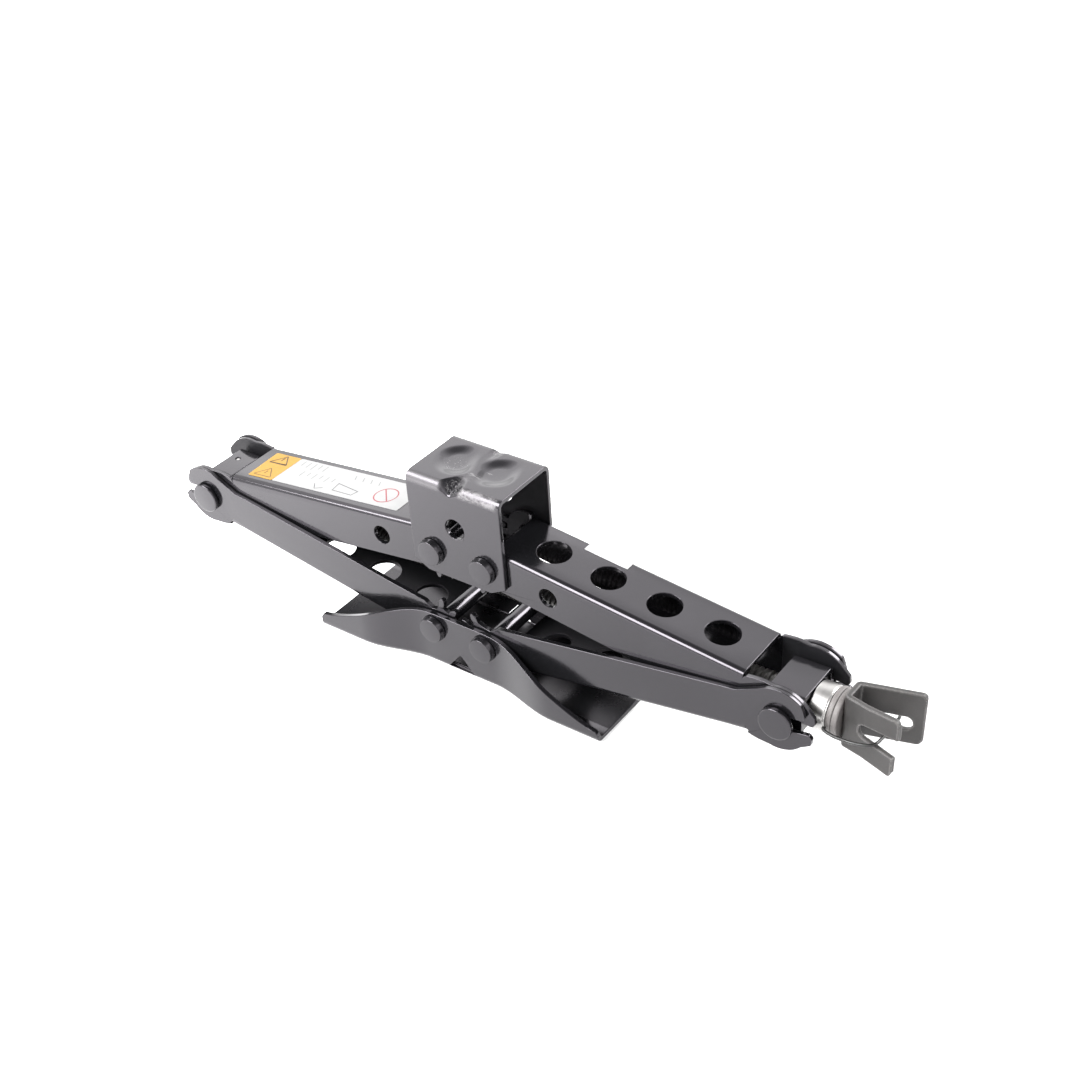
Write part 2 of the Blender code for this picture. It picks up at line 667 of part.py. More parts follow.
def build_clevis():
    """A strip bent into a U that opens towards the crank, one side forked, the other slotted."""
    back = from_end_pin(CLEVIS_BACK)
    tip = from_end_pin(CLEVIS_TIP)
    near_tip = from_end_pin(NEAR_TIP)
    half_back = 7.6 * MM
    half_tip = 15.3 * MM
    near_half_tip = 14.8 * MM
    bend = 2.5 * MM
    side = [(back + bend, half_back), (back + bend * 0.3, half_back - bend * 0.3),
            (back, half_back - bend)]
    path = [(near_tip, -near_half_tip), *((x, -y) for x, y in side)]
    path += [*reversed(side), (tip, half_tip)]
    sections = [[(x, y, z) for x, y in path] for z in (CLEVIS_LOW, CLEVIS_HIGH)]
    clevis = folded_sheet("crank_clevis", sections, CLEVIS_SHEET, (-1, 0, 0))
    slot_half = 3.7 * MM
    slot_back = from_end_pin(229.5 * MM)
    slot_end = from_end_pin(240.5 * MM)
    beyond = tip + 5 * MM
    open_slot = [(beyond, NEAR_SLOT_Z + slot_half),
                 *arc((slot_back, NEAR_SLOT_Z), slot_half, 90, 270, 8),
                 (beyond, NEAR_SLOT_Z - slot_half)]
    closed_slot = (arc((slot_back, FAR_SLOT_Z), slot_half, 90, 270, 8)
                   + arc((slot_end, FAR_SLOT_Z), slot_half, -90, 90, 8))
    reach = 12 * MM
    for side, outline in ((-1, open_slot), (1, closed_slot)):
        cutter = flat_plate("slot", [outline], reach, side * (half_tip - 4.5 * MM))
        clevis = combine(clevis, cutter, "DIFFERENCE")
    corner = 2.5 * MM
    for side, end in ((-1, near_tip), (1, tip)):
        for z, inwards in ((CLEVIS_LOW, 1), (CLEVIS_HIGH, -1)):
            outline = [(end - corner, z - inwards * MM), (end - corner, z), (end, z + inwards * corner),
                       (end + 3 * MM, z + inwards * corner), (end + 3 * MM, z - inwards * MM)]
            cutter = flat_plate("corner", [outline], 20 * MM, side * half_tip)
            clevis = combine(clevis, cutter, "DIFFERENCE")
    shape_clevis(clevis, back, slot_back, tip)
    return finish(clevis, PHOSPHATE)


def build_clip():
    """The wire bail through both clevis slots, its ends beside the neck."""
    route = [(207, -14.2, -1.5), (212, -15.2, -2.5), (219, -16.2, -2.6), (227, -16.8, -1.6),
             (233, -16.4, -0.4), (236.4, -14.6, 0), (237.4, -11, 0), (237.6, 0, 0), (237.4, 11, 0),
             (236.4, 14.6, 0), (233, 16.4, 0.6), (226, 16.8, 1.6), (217, 16.2, 2.6), (209, 15.4, 3.2),
             (204, 14.2, 3.0)]
    curve = bpy.data.curves.new("wire_clip", "CURVE")
    curve.dimensions = "3D"
    curve.bevel_depth = WIRE_RADIUS
    curve.bevel_resolution = 2
    curve.use_fill_caps = True
    spline = curve.splines.new("POLY")
    spline.points.add(len(route) - 1)
    for point, (x, y, z) in zip(spline.points, route):
        point.co = (from_end_pin(x * MM), y * MM, z * MM, 1)
    obj = bpy.data.objects.new("wire_clip", curve)
    COLLECTION.objects.link(obj)
    obj.rotation_euler = (CLEVIS_ROLL, 0, 0)
    bpy.context.view_layer.update()
    return finish(bake(obj), DARK_STEEL)


# ---------------------------------------------------------------- assembly

build_base()
for side, word in ((-1, "left"), (1, "right")):
    pin = centre_pin("base_pin_" + word, BASE_WAIST + GAP)
    pin.location = (side * PIN_SPACING / 2, 0, BASE_PIN_Z)

FACING = {"right": 0.0, "left": math.pi}
SIDE = {"right": 1, "left": -1}

LOWER_TEETH = {"right": (112, 3), "left": (97, 4)}
UPPER_TEETH = {"right": (97, 4), "left": (82, 4)}

for word, side in SIDE.items():
    arm = lower_arm("lower_arm_" + word, *LOWER_TEETH[word])
    place([arm], (side * PIN_SPACING / 2, 0, BASE_PIN_Z), -REST_ANGLE, FACING[word], "lower_" + word)

UPPER_HOLES = {"right": UPPER_FIRST_HOLE, "left": None}
LABELS = {
    "right": ("blank_sticker", (36.5 * MM, 66.0 * MM), (8.0 * MM, UPPER_HALF)),
    "left": ("caution_label", (30.0 * MM, 145.5 * MM), (-14.3 * MM, 14.3 * MM)),
}

for word, side in SIDE.items():
    arm = upper_arm("upper_arm_" + word, *UPPER_TEETH[word], UPPER_HOLES[word])
    place([arm, label(*LABELS[word])], (side * PIN_SPACING / 2, 0, SADDLE_PIN_Z), REST_ANGLE,
          FACING[word], "upper_" + word)

saddle_parts = [build_saddle()]
for side, word in ((-1, "left"), (1, "right")):
    pin = centre_pin("saddle_pin_" + word, SADDLE_HALF_WIDTH + GAP)
    pin.location = ((side + 1) * PIN_SPACING / 2, 0, 0)
    saddle_parts.append(pin)
place(saddle_parts, (-PIN_SPACING / 2, 0, SADDLE_PIN_Z), name="saddle")

block_half = YOKE_HALF - YOKE_SHEET - GAP
block_top = YOKE_TOP - YOKE_SHEET - 1.3 * MM

left_parts = [
    yoke("nut_yoke", -5 * MM, 11.5 * MM, (1.3 * MM, 4.7 * MM)),
    bored_block("screw_nut", (-4 * MM, -block_half, BLOCK_BOTTOM), (10.5 * MM, block_half, block_top),
                SCREW_RADIUS + GAP, DARK_STEEL),
    end_pin("nut_yoke_pin_front", -1),
    end_pin("nut_yoke_pin_back", 1),
]
place(left_parts, (-END_PIN_X, 0, END_PIN_Z), name="nut")

right_parts = [
    yoke("thrust_yoke", -10 * MM, 10 * MM),
    bored_block("thrust_block", (-8.5 * MM, -block_half, BLOCK_BOTTOM), (8.5 * MM, block_half, block_top),
                SCREW_RADIUS + GAP, DARK_STEEL),
    end_pin("thrust_yoke_pin_front", -1),
    end_pin("thrust_yoke_pin_back", 1),
]
place(right_parts, (END_PIN_X, 0, END_PIN_Z), name="thrust")

bush_start = END_PIN_X + 10 * MM + GAP
screw_parts = [
    build_screw(),
    ring("thrust_bush", bush_start, BUSH_END, BUSH_RADIUS, NECK_RADIUS + GAP, ZINC, BUSH_EDGE),
    ring("thrust_washer", WASHER_START, WASHER_END, WASHER_RADIUS, NECK_RADIUS + GAP, PHOSPHATE,
         WASHER_EDGE),
    build_clevis(),
    build_clip(),
]
place(screw_parts, (END_PIN_X, 0, END_PIN_Z), name="screw")
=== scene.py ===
"""Looks of the folding scissor jack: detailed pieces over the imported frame, studio and camera."""

import json
import math
from contextlib import contextmanager

import bmesh
import bpy
from mathutils import Matrix, Vector


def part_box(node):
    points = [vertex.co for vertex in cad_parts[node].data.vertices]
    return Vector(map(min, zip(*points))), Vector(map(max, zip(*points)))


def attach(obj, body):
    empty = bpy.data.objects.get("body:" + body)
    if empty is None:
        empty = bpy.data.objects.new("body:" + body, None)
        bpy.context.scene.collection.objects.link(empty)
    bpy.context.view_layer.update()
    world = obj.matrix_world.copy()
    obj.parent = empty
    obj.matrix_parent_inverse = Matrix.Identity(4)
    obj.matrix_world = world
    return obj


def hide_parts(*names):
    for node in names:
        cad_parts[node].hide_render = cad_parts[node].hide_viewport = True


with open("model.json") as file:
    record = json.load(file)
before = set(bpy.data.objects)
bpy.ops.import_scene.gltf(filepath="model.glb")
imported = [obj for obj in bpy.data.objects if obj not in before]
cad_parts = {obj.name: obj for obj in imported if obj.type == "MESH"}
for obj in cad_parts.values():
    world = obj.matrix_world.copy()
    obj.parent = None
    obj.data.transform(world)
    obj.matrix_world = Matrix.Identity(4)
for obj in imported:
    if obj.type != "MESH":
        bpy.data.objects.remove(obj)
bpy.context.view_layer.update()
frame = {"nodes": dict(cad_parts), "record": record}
MM = 0.001


# ------------ node helpers

class Nodes:
    """Short calls for building the node tree of a material or of the world."""

    def __init__(self, name, blocks=bpy.data.materials, shader="Principled BSDF", place="Object"):
        self.owner = blocks.new(name)
        self.owner.use_nodes = True
        self.tree = self.owner.node_tree
        self.shader = self.tree.nodes[shader]
        self.place = self.add("TexCoord").outputs[place]

    def add(self, kind):
        return self.tree.nodes.new("ShaderNode" + kind)

    def give(self, socket, value):
        """Gives a socket a number, a vector, a colour tuple or another node's output."""
        if isinstance(value, tuple):
            socket.default_value = (*value, 1)
        elif isinstance(value, (int, float, Vector)):
            socket.default_value = value
        else:
            self.tree.links.new(value, socket)

    def feed(self, node, **values):
        """Gives a node's inputs their values by name, with _ for each space."""
        for name, value in values.items():
            self.give(node.inputs[name.replace("_", " ")], value)

    def set(self, **values):
        self.feed(self.shader, **values)

    def noise(self, scale, detail=4, roughness=0.5, stretch=None):
        node = self.add("TexNoise")
        place = self.place
        if stretch:
            mapping = self.add("Mapping")
            self.feed(mapping, Vector=place, Scale=Vector(stretch))
            place = mapping.outputs["Vector"]
        self.feed(node, Scale=scale, Detail=detail, Roughness=roughness, Vector=place)
        return node.outputs["Fac"]

    def ramp(self, value, stops):
        """Maps a value through stops of (position, grey or colour)."""
        node = self.add("ValToRGB")
        elements = node.color_ramp.elements
        while len(elements) < len(stops):
            elements.new(0.5)
        for element, (position, color) in zip(elements, stops):
            element.position = position
            if isinstance(color, (int, float)):
                color = (color, color, color)
            element.color = (*color, 1)
        self.feed(node, Fac=value)
        return node.outputs["Color"]

    def pair(self, kind, operation, first, second):
        """A node that works on two values."""
        node = self.add(kind)
        node.operation = operation
        self.give(node.inputs[0], first)
        self.give(node.inputs[1], second)
        return node.outputs["Value"]

    def math(self, operation, first, second=0):
        return self.pair("Math", operation, first, second)

    def times(self, first, second):
        return self.math("MULTIPLY", first, second)

    def mix(self, factor, first, second):
        node = self.add("Mix")
        node.data_type = "RGBA"
        for index, value in ((0, factor), (6, first), (7, second)):
            self.give(node.inputs[index], value)
        return node.outputs[2]

    def split(self, axis):
        """The place along X, Y or Z."""
        node = self.add("SeparateXYZ")
        self.feed(node, Vector=self.place)
        return node.outputs[axis]

    def range(self, value, zero_at, one_at):
        """A smooth share of the way from one place to another, held at the ends."""
        node = self.add("MapRange")
        node.interpolation_type = "SMOOTHSTEP"
        self.feed(node, From_Min=zero_at, From_Max=one_at, Value=value)
        return node.outputs["Result"]

    def bump(self, height, distance, strength=1, below=None):
        node = self.add("Bump")
        self.feed(node, Distance=distance, Strength=strength, Height=height)
        if below is not None:
            self.feed(node, Normal=below)
        return node.outputs["Normal"]

    def at_edges(self, radius):
        """Rises from 0 on flat faces to about 0.3 on the edges."""
        bevel = self.add("Bevel")
        bevel.samples = 4
        self.feed(bevel, Radius=radius)
        normal = self.add("NewGeometry").outputs["Normal"]
        likeness = self.pair("VectorMath", "DOT_PRODUCT", bevel.outputs["Normal"], normal)
        return self.math("SUBTRACT", 1, likeness)


# ------------ materials

# heights on the saddle, and the distances between which the upper arms keep their full gloss
SADDLE_RIM, DENTED_HEIGHT = 113 * MM, 116 * MM
INNER_HUB, OUTER_HUB = 19.5 * MM, 171 * MM
DULL_FADE = 0.8 * MM


def black_paint(name="gloss_black_paint", worn=False, inside=None, hubs_only=False, dulling=1):
    """Gloss paint, whose reflection is weaker and rougher within the half width called inside, so the
    insides look darker.

    The worn paint is the saddle's, whose top keeps its full gloss. hubs_only keeps the duller
    reflection only around the pins.
    """
    n = Nodes(name)
    cloud = n.noise(28, 3)
    color = n.ramp(cloud, [(0.3, (0.0035, 0.0035, 0.004)), (0.7, (0.006, 0.006, 0.0068))])
    smudge = n.noise(60, 5, 0.6)
    roughness = n.ramp(smudge, [(0.3, 0.10), (0.75, 0.18)])
    peel = n.bump(n.noise(420, 2), 0.02 * MM, 0.6)
    if worn:
        scuff = saddle_wear(n)
        color = n.mix(scuff, color, (0.15, 0.145, 0.148))
        roughness = n.mix(scuff, roughness, (0.55, 0.55, 0.55))
        peel = n.bump(scuff, 0.02 * MM, 0.4, peel)
    if inside:
        depth = n.math("ABSOLUTE", n.split("Y"))
        dull = n.range(depth, inside, inside - DULL_FADE)
        if worn:
            dull = n.times(dull, n.range(n.split("Z"), SADDLE_RIM, SADDLE_RIM - MM))
        if hubs_only:
            along = n.math("ABSOLUTE", n.split("X"))
            ends = n.math("ADD", n.range(along, INNER_HUB, INNER_HUB - MM),
                          n.range(along, OUTER_HUB, OUTER_HUB + MM))
            dull = n.times(dull, ends)
        dull = n.times(dull, dulling)
        roughness = n.mix(dull, roughness, (0.5, 0.5, 0.5))
        n.set(Specular_IOR_Level=n.mix(dull, (0.5, 0.5, 0.5), (0.2, 0.2, 0.2)))
    n.set(Base_Color=color, Roughness=roughness, Normal=peel, IOR=1.52,
          Specular_Tint=(1, 0.94, 1.03))
    return n.owner


def near_spot(n, x, y, radius):
    """1 close to a spot of the saddle's top, 0 beyond the radius, both in millimetres."""
    spot = Vector((x * MM, y * MM, DENTED_HEIGHT))
    distance = n.pair("VectorMath", "DISTANCE", n.place, spot)
    return n.range(distance, radius * MM, radius * 0.45 * MM)


def saddle_wear(n):
    """Rubbed and chipped paint: along the front bend, at both dents and on specks in one dish."""
    x, y, z = (n.split(axis) for axis in "XYZ")
    grain = n.noise(700, 6, 0.75)
    patches = n.noise(160, 4, 0.6)
    bend = n.times(n.range(y, -17.4 * MM, -20.4 * MM), n.range(z, 112.2 * MM, 115.4 * MM))
    right = n.range(x, 2.5 * MM, 5.5 * MM)
    right = n.times(right, n.range(x, 29.5 * MM, 26.5 * MM))
    rough = n.ramp(n.math("ADD", n.times(grain, 0.5), n.times(patches, 0.5)),
                   [(0.42, 0.1), (0.56, 1)])
    left = n.times(n.range(x, -7 * MM, -10 * MM), 0.42)
    along = n.times(bend, n.math("ADD", n.times(right, rough), left))
    chips = n.ramp(grain, [(0.50, 0), (0.58, 1)])
    dents = n.math("MAXIMUM", near_spot(n, -1, -17.5, 6), near_spot(n, 0.5, 17.5, 5.5))
    dents = n.times(n.times(dents, chips), 0.45)
    specks = n.ramp(n.noise(1500, 2, 0.5), [(0.66, 0), (0.70, 1)])
    dish = n.times(near_spot(n, -13, -1, 9), specks)
    scratches = n.ramp(n.noise(260, 3, 0.5, (0.35, 1.5, 1)), [(0.60, 0), (0.66, 0.5)])
    scratched = n.times(near_spot(n, 4, -4, 12), scratches)
    wear = n.math("MAXIMUM", along, dents)
    wear = n.math("MAXIMUM", wear, dish)
    return n.math("MINIMUM", n.math("MAXIMUM", wear, scratched), 1)


def dark_steel(name="oiled_dark_steel", tone=0.14, metallic=0.85):
    n = Nodes(name)
    color = n.ramp(n.noise(90, 5), [(0.3, (0.6 * tone, 0.585 * tone, 0.58 * tone)),
                                        (0.7, (tone, 0.97 * tone, 0.94 * tone))])
    roughness = n.ramp(n.noise(200, 4), [(0.3, 0.25), (0.7, 0.45)])
    n.set(Base_Color=color, Roughness=roughness, Metallic=metallic,
          Normal=n.bump(n.noise(900, 3), 0.02 * MM))
    return n.owner


def zinc():
    n = Nodes("bright_zinc_plate")
    color = n.ramp(n.noise(120, 5), [(0.3, (0.36, 0.352, 0.345)), (0.7, (0.47, 0.46, 0.45))])
    lathe = n.noise(60, 6, 0.7, (40, 1, 1))
    roughness = n.ramp(lathe, [(0.3, 0.3), (0.7, 0.46)])
    n.set(Base_Color=color, Roughness=roughness, Metallic=1, Normal=n.bump(lathe, 0.02 * MM, 0.3))
    return n.owner


def phosphate(name, tone):
    """Grey-brown coated steel, with a painted highlight along its edges."""
    n = Nodes(name)
    grain = n.noise(1400, 4, 0.7)
    cloud = n.noise(70, 4)
    shade = n.mix(0.4, cloud, grain)
    color = n.ramp(shade, [(0.3, (0.45 * tone, 0.41 * tone, 0.40 * tone)),
                           (0.7, (tone, 0.92 * tone, 0.90 * tone))])
    # painted highlight: the edges are mixed towards a lighter grey, in place of the light they catch
    edge_highlight = n.times(n.ramp(n.at_edges(1.6 * MM), [(0.01, 0), (0.08, 0.8)]),
                    n.ramp(grain, [(0.35, 0.3), (0.6, 1)]))
    color = n.mix(edge_highlight, color, (0.16, 0.152, 0.15))
    roughness = n.ramp(cloud, [(0.3, 0.42), (0.7, 0.58)])
    n.set(Base_Color=color, Roughness=roughness, Metallic=0.1, Normal=n.bump(grain, 0.05 * MM, 0.5))
    return n.owner


def film(name, color):
    """Printed film: an even colour, faintly mottled, with dust in its gloss."""
    n = Nodes(name)
    darker = tuple(0.94 * channel for channel in color)
    tone = n.ramp(n.noise(150, 4), [(0.3, darker), (0.7, color)])
    gloss = n.ramp(n.noise(500, 3), [(0.3, 0.29), (0.7, 0.43)])
    n.set(Base_Color=tone, Roughness=gloss, Normal=n.bump(n.noise(260, 2), 0.01 * MM, 0.4),
          Specular_IOR_Level=0.2)
    return n.owner


PAINT = black_paint()
WORN_PAINT = black_paint("scuffed_black_paint", worn=True, inside=20.4 * MM)
LOWER_ARM_PAINT = black_paint("lower_arm_black_paint", inside=20.8 * MM)
BASE_PAINT = black_paint("base_black_paint", inside=26.4 * MM, dulling=0.4)
UPPER_ARM_PAINT = black_paint("upper_arm_black_paint", inside=17.8 * MM, hubs_only=True)
STEEL = dark_steel()
ZINC = zinc()
PHOSPHATE = phosphate("grey_brown_phosphate", 0.028)
WASHER_GREY = phosphate("grey_washer_steel", 0.15)
BLACK_WIRE = dark_steel("blackened_spring_wire", 0.022, 0.3)
WHITE_FILM = film("white_film", (0.25, 0.25, 0.25))
STICKER_FILM = film("sticker_film", (0.45, 0.45, 0.45))
YELLOW_FILM = film("yellow_film", (0.27, 0.15, 0.018))
DARK_INK = film("dark_ink", (0.03, 0.014, 0.006))
GREY_INK = film("grey_ink", (0.05, 0.05, 0.053))
PALE_INK = film("pale_ink", (0.12, 0.12, 0.123))
RED_INK = film("red_ink", (0.20, 0.035, 0.045))

# ------------ shape helpers

def add_object(name, data):
    obj = bpy.data.objects.new(name, data)
    bpy.context.scene.collection.objects.link(obj)
    return obj


def to_object(work, name):
    mesh = bpy.data.meshes.new(name)
    work.to_mesh(mesh)
    work.free()
    return add_object(name, mesh)


@contextmanager
def editing(obj):
    """Opens an object's mesh as a bmesh, and writes it back afterwards."""
    work = bmesh.new()
    work.from_mesh(obj.data)
    yield work
    work.to_mesh(obj.data)
    work.free()


def bake(obj):
    """Applies an object's modifiers and place to a plain mesh."""
    bpy.context.view_layer.update()
    graph = bpy.context.evaluated_depsgraph_get()
    mesh = bpy.data.meshes.new_from_object(obj.evaluated_get(graph))
    mesh.transform(obj.matrix_world)
    name = obj.name
    bpy.data.objects.remove(obj, do_unlink=True)
    return add_object(name, mesh)


def cut(target, tools):
    """Takes the tools' shapes out of a target, and removes the tools."""
    for tool in tools:
        modifier = target.modifiers.new("cut", "BOOLEAN")
        modifier.operation = "DIFFERENCE"
        modifier.solver = "EXACT"
        modifier.object = tool
    result = bake(target)
    for tool in tools:
        bpy.data.objects.remove(tool, do_unlink=True)
    return result


def clean(obj, flat_angle=0.3, weld=0.01 * MM, below=1):
    """Welds a mesh, and merges its flat faces below a height, for evenly rounded edges."""
    with editing(obj) as work:
        bmesh.ops.remove_doubles(work, verts=work.verts, dist=weld)
        verts = [vert for vert in work.verts if vert.co.z < below]
        edges = [edge for edge in work.edges if all(vert.co.z < below for vert in edge.verts)]
        bmesh.ops.dissolve_limit(work, angle_limit=math.radians(flat_angle), verts=verts,
                                 edges=edges, use_dissolve_boundaries=False)
    return obj


def round_edges(obj, width, segments=2, angle=42):
    bevel = obj.modifiers.new("edge", "BEVEL")
    bevel.width = width
    bevel.segments = segments
    bevel.limit_method = "ANGLE"
    bevel.angle_limit = math.radians(angle)
    bevel.harden_normals = True
    bevel.use_clamp_overlap = False
    obj.data.shade_smooth()
    return obj


def even_normals(obj):
    """Lets the big faces keep flat shading and the small rounded edges blend into them."""
    obj.data.shade_smooth()
    weigh = obj.modifiers.new("even", "WEIGHTED_NORMAL")
    weigh.mode = "FACE_AREA"
    weigh.weight = 90
    return obj


def finish(obj, material, body, nodes):
    """Gives a piece its material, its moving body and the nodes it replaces."""
    obj.data.materials.clear()
    obj.data.materials.append(material)
    for polygon in obj.data.polygons:
        polygon.material_index = 0
    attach(obj, body)
    if nodes:
        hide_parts(*nodes)


def cylinder(radius, depth, centre, axis="Y", steps=64):
    """A tool for cutting a round hole along Y or Z."""
    work = bmesh.new()
    bmesh.ops.create_cone(work, cap_ends=True, segments=steps, radius1=radius, radius2=radius,
                          depth=depth)
    turn = Matrix.Rotation(math.pi / 2, 4, "X") if axis == "Y" else Matrix.Identity(4)
    bmesh.ops.transform(work, matrix=Matrix.Translation(centre) @ turn, verts=work.verts)
    return to_object(work, "cutter")


def arc(centre, radius, start, end, steps):
    points = []
    for step in range(steps + 1):
        angle = math.radians(start + (end - start) * step / steps)
        points.append((centre[0] + radius * math.cos(angle), centre[1] + radius * math.sin(angle)))
    return points


def circle(centre, radius):
    """A closed circle of 48 points."""
    return arc(centre, radius, 0, 360 * 47 / 48, 47)


def soften(points, radius, closed=True, steps=4):
    """Rounds the corners of a flat line of points that turn by 22 degrees or more."""
    result = []
    count = len(points)
    for i, point in enumerate(points):
        if not closed and i in (0, count - 1):
            result.append(point)
            continue
        here = Vector(point)
        before = Vector(points[i - 1]) - here
        after = Vector(points[(i + 1) % count]) - here
        turn = math.pi - before.angle(after, 0)
        if math.degrees(turn) < 22:
            result.append(point)
            continue
        reach = min(radius * math.tan(turn / 2), 0.45 * before.length, 0.45 * after.length)
        start = here + before.normalized() * reach
        end = here + after.normalized() * reach
        for step in range(steps + 1):
            t = step / steps
            spot = start * (1 - t) ** 2 + here * 2 * t * (1 - t) + end * t * t
            result.append(tuple(spot))
    return result


def turned(name, profile, axis="Y", steps=64):
    """Turns a profile of (radius, place along the axis) from its top end to its bottom end."""
    mesh = bpy.data.meshes.new(name)
    mesh.from_pydata([(radius, 0, place) for radius, place in profile],
                     [(i, i + 1) for i in range(len(profile) - 1)], [])
    obj = add_object(name, mesh)
    screw = obj.modifiers.new("turn", "SCREW")
    screw.axis = "Z"
    screw.steps = steps
    screw.use_merge_vertices = True
    screw.merge_threshold = 0.000001
    obj = bake(obj)
    turn = Matrix.Rotation(math.pi / 2, 4, "X" if axis == "Y" else "Y")
    obj.data.transform(turn)
    obj.data.shade_smooth()
    obj.data.set_sharp_from_angle(angle=math.radians(50))
    return obj


def plate(name, outlines, thickness, middle_y):
    """Extrudes closed (x, z) outlines, the first one solid and the others holes, along Y."""
    curve = bpy.data.curves.new(name, "CURVE")
    curve.dimensions = "2D"
    curve.fill_mode = "BOTH"
    curve.extrude = thickness / 2
    for outline in outlines:
        spline = curve.splines.new("POLY")
        spline.points.add(len(outline) - 1)
        for point, (x, z) in zip(spline.points, outline):
            point.co = (x, z, 0, 1)
        spline.use_cyclic_u = True
    obj = add_object(name, curve)
    obj.rotation_euler = (math.pi / 2, 0, 0)
    obj.location = (0, middle_y, 0)
    return clean(bake(obj), 0.05)


def thicken(obj, thickness):
    """Gives an open outer skin its sheet thickness, inwards."""
    shell = obj.modifiers.new("sheet", "SOLIDIFY")
    shell.thickness = thickness
    shell.offset = -1
    shell.use_even_offset = True
    return bake(obj)


def face_outwards(work, outward):
    """Turns a skin over unless the face nearest the middle looks along outward."""
    bmesh.ops.recalc_face_normals(work, faces=work.faces)
    middle = min(work.faces, key=lambda face: abs(face.calc_center_median().y) - face.calc_area())
    if middle.normal.dot(Vector(outward)) < 0:
        bmesh.ops.reverse_faces(work, faces=work.faces)


def skin(work, rows):
    """Spans faces between rows of vertices of equal length."""
    for row, following in zip(rows, rows[1:]):
        for i in range(len(row) - 1):
            work.faces.new((row[i], row[i + 1], following[i + 1], following[i]))


def lofted(name, sections, thickness, outward):
    """A sheet through open sections of equal length."""
    work = bmesh.new()
    skin(work, [[work.verts.new(point) for point in section] for section in sections])
    face_outwards(work, outward)
    return thicken(to_object(work, name), thickness)


def slice_up(work, axis, places):
    """Divides a mesh at places along X (0) or Z (2) without parting it."""
    normal = Vector((0, 0, 0))
    normal[axis] = 1
    for place in places:
        bmesh.ops.bisect_plane(work, geom=work.verts[:] + work.edges[:] + work.faces[:],
                               dist=0.001 * MM, plane_co=normal * place, plane_no=normal)


def smooth_step(value):
    value = min(max(value, 0), 1)
    return value * value * (3 - 2 * value)


def both_sides(x, side, middle=()):
    """A whole section at x from its half at +y, with optional points in the middle."""
    return ([(x, -y, z) for y, z in side] + [(x, y, z) for y, z in middle]
            + [(x, y, z) for y, z in reversed(side)])


# ------------ places from the frame

def middle_of(node):
    low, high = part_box(node)
    return (low + high) / 2


BASE_PIN = middle_of("base_pin_right")
SADDLE_PIN = middle_of("saddle_pin_right")
END_PIN = middle_of("thrust_yoke_pin_front")
END_PIN.y = 0
ARM_LENGTH = (END_PIN - Vector((BASE_PIN.x, 0, BASE_PIN.z))).length
REST_ANGLE = math.atan2(END_PIN.z - BASE_PIN.z, END_PIN.x - BASE_PIN.x)
SADDLE_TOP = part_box("saddle_bracket")[1].z
SCREW_PLACE = Matrix.Translation((0, 0, END_PIN.z))

# the arms' channels, in their own place: X from the centre pin to the end pin, Z towards the web
SHEET = 2.5 * MM
GAP = 0.3 * MM
UPPER_HALF = 19.2 * MM
LOWER_HALF = 22 * MM
FLARE = 24.9 / 22
FLARE_START, FLARE_END = 145 * MM, 30 * MM
BEND = 3.5 * MM
BEND_STEPS = 8
UPPER_WEB = ((3 * MM, 12.4 * MM), (152 * MM, 15.9 * MM))
LOWER_WEB = ((3 * MM, 12 * MM), (156 * MM, 12 * MM))
WEB_HOLE_RADIUS, WEB_HOLE_PITCH, WEB_HOLES = 9.2 * MM, 33.7 * MM, 4
FLANGE_HOLE_PLACE, FLANGE_HOLE_RADIUS = 38.8 * MM, 5.5 * MM
FAR_FLANGE_EXTRA = 0.8 * MM
EDGE = 0.35 * MM

# radii and head heights of the pins, and half the height of the slots in the arms' ears
END_HEAD_RADIUS = 9 * MM
END_HEAD_HEIGHT = 2.9 * MM
CENTRE_HEAD_RADIUS = 7 * MM
CENTRE_HEAD_BASE = 8 * MM
CENTRE_HEAD_HEIGHT = 3.4 * MM
CENTRE_SHANK = 5 * MM
END_SHANK = 5.7 * MM
SPIGOT = 4 * MM
SLOT_HALF = 3.8 * MM


def arm_place(word, centre_pin, tilt):
    """Takes an arm's own place to the jack, in the stored pose."""
    side = 1 if word == "right" else -1
    turn = 0 if word == "right" else math.pi
    return (Matrix.Translation((side * centre_pin.x, 0, centre_pin.z))
            @ Matrix.Rotation(turn, 4, "Z") @ Matrix.Rotation(tilt, 4, "Y"))


def web_height(x):
    """The height of an upper arm's web over the line through its pins."""
    (start_x, start_z), (end_x, end_z) = UPPER_WEB
    return start_z + (end_z - start_z) * (x - start_x) / (end_x - start_x)


# ------------ arms

TEETH = 12
PITCH_RADIUS = 17 * MM
TIP_RADIUS = 19.4 * MM
ROOT_RADIUS = 13.6 * MM
PRESSURE_ANGLE = math.radians(20)
BACKLASH = 0.8 * MM
FLANK_STEPS = 8


def polar(radius, angle):
    """A point around the centre pin, with the angle measured downwards from the arm."""
    return (radius * math.cos(math.radians(angle)), -radius * math.sin(math.radians(angle)))


def tooth(middle):
    """The outline of one involute tooth around its middle angle."""
    base_circle = PITCH_RADIUS * math.cos(PRESSURE_ANGLE)
    at_pitch = math.tan(PRESSURE_ANGLE) - PRESSURE_ANGLE
    half_at_pitch = math.pi / (2 * TEETH) - BACKLASH / (2 * PITCH_RADIUS)
    flank = []
    for step in range(FLANK_STEPS + 1):
        radius = ROOT_RADIUS + (TIP_RADIUS - ROOT_RADIUS) * step / FLANK_STEPS
        pressure = math.acos(min(base_circle / radius, 1))
        half = half_at_pitch + at_pitch - (math.tan(pressure) - pressure)
        flank.append((radius, math.degrees(half)))
    rising = [polar(radius, middle - half) for radius, half in flank]
    falling = [polar(radius, middle + half) for radius, half in reversed(flank)]
    return rising + falling


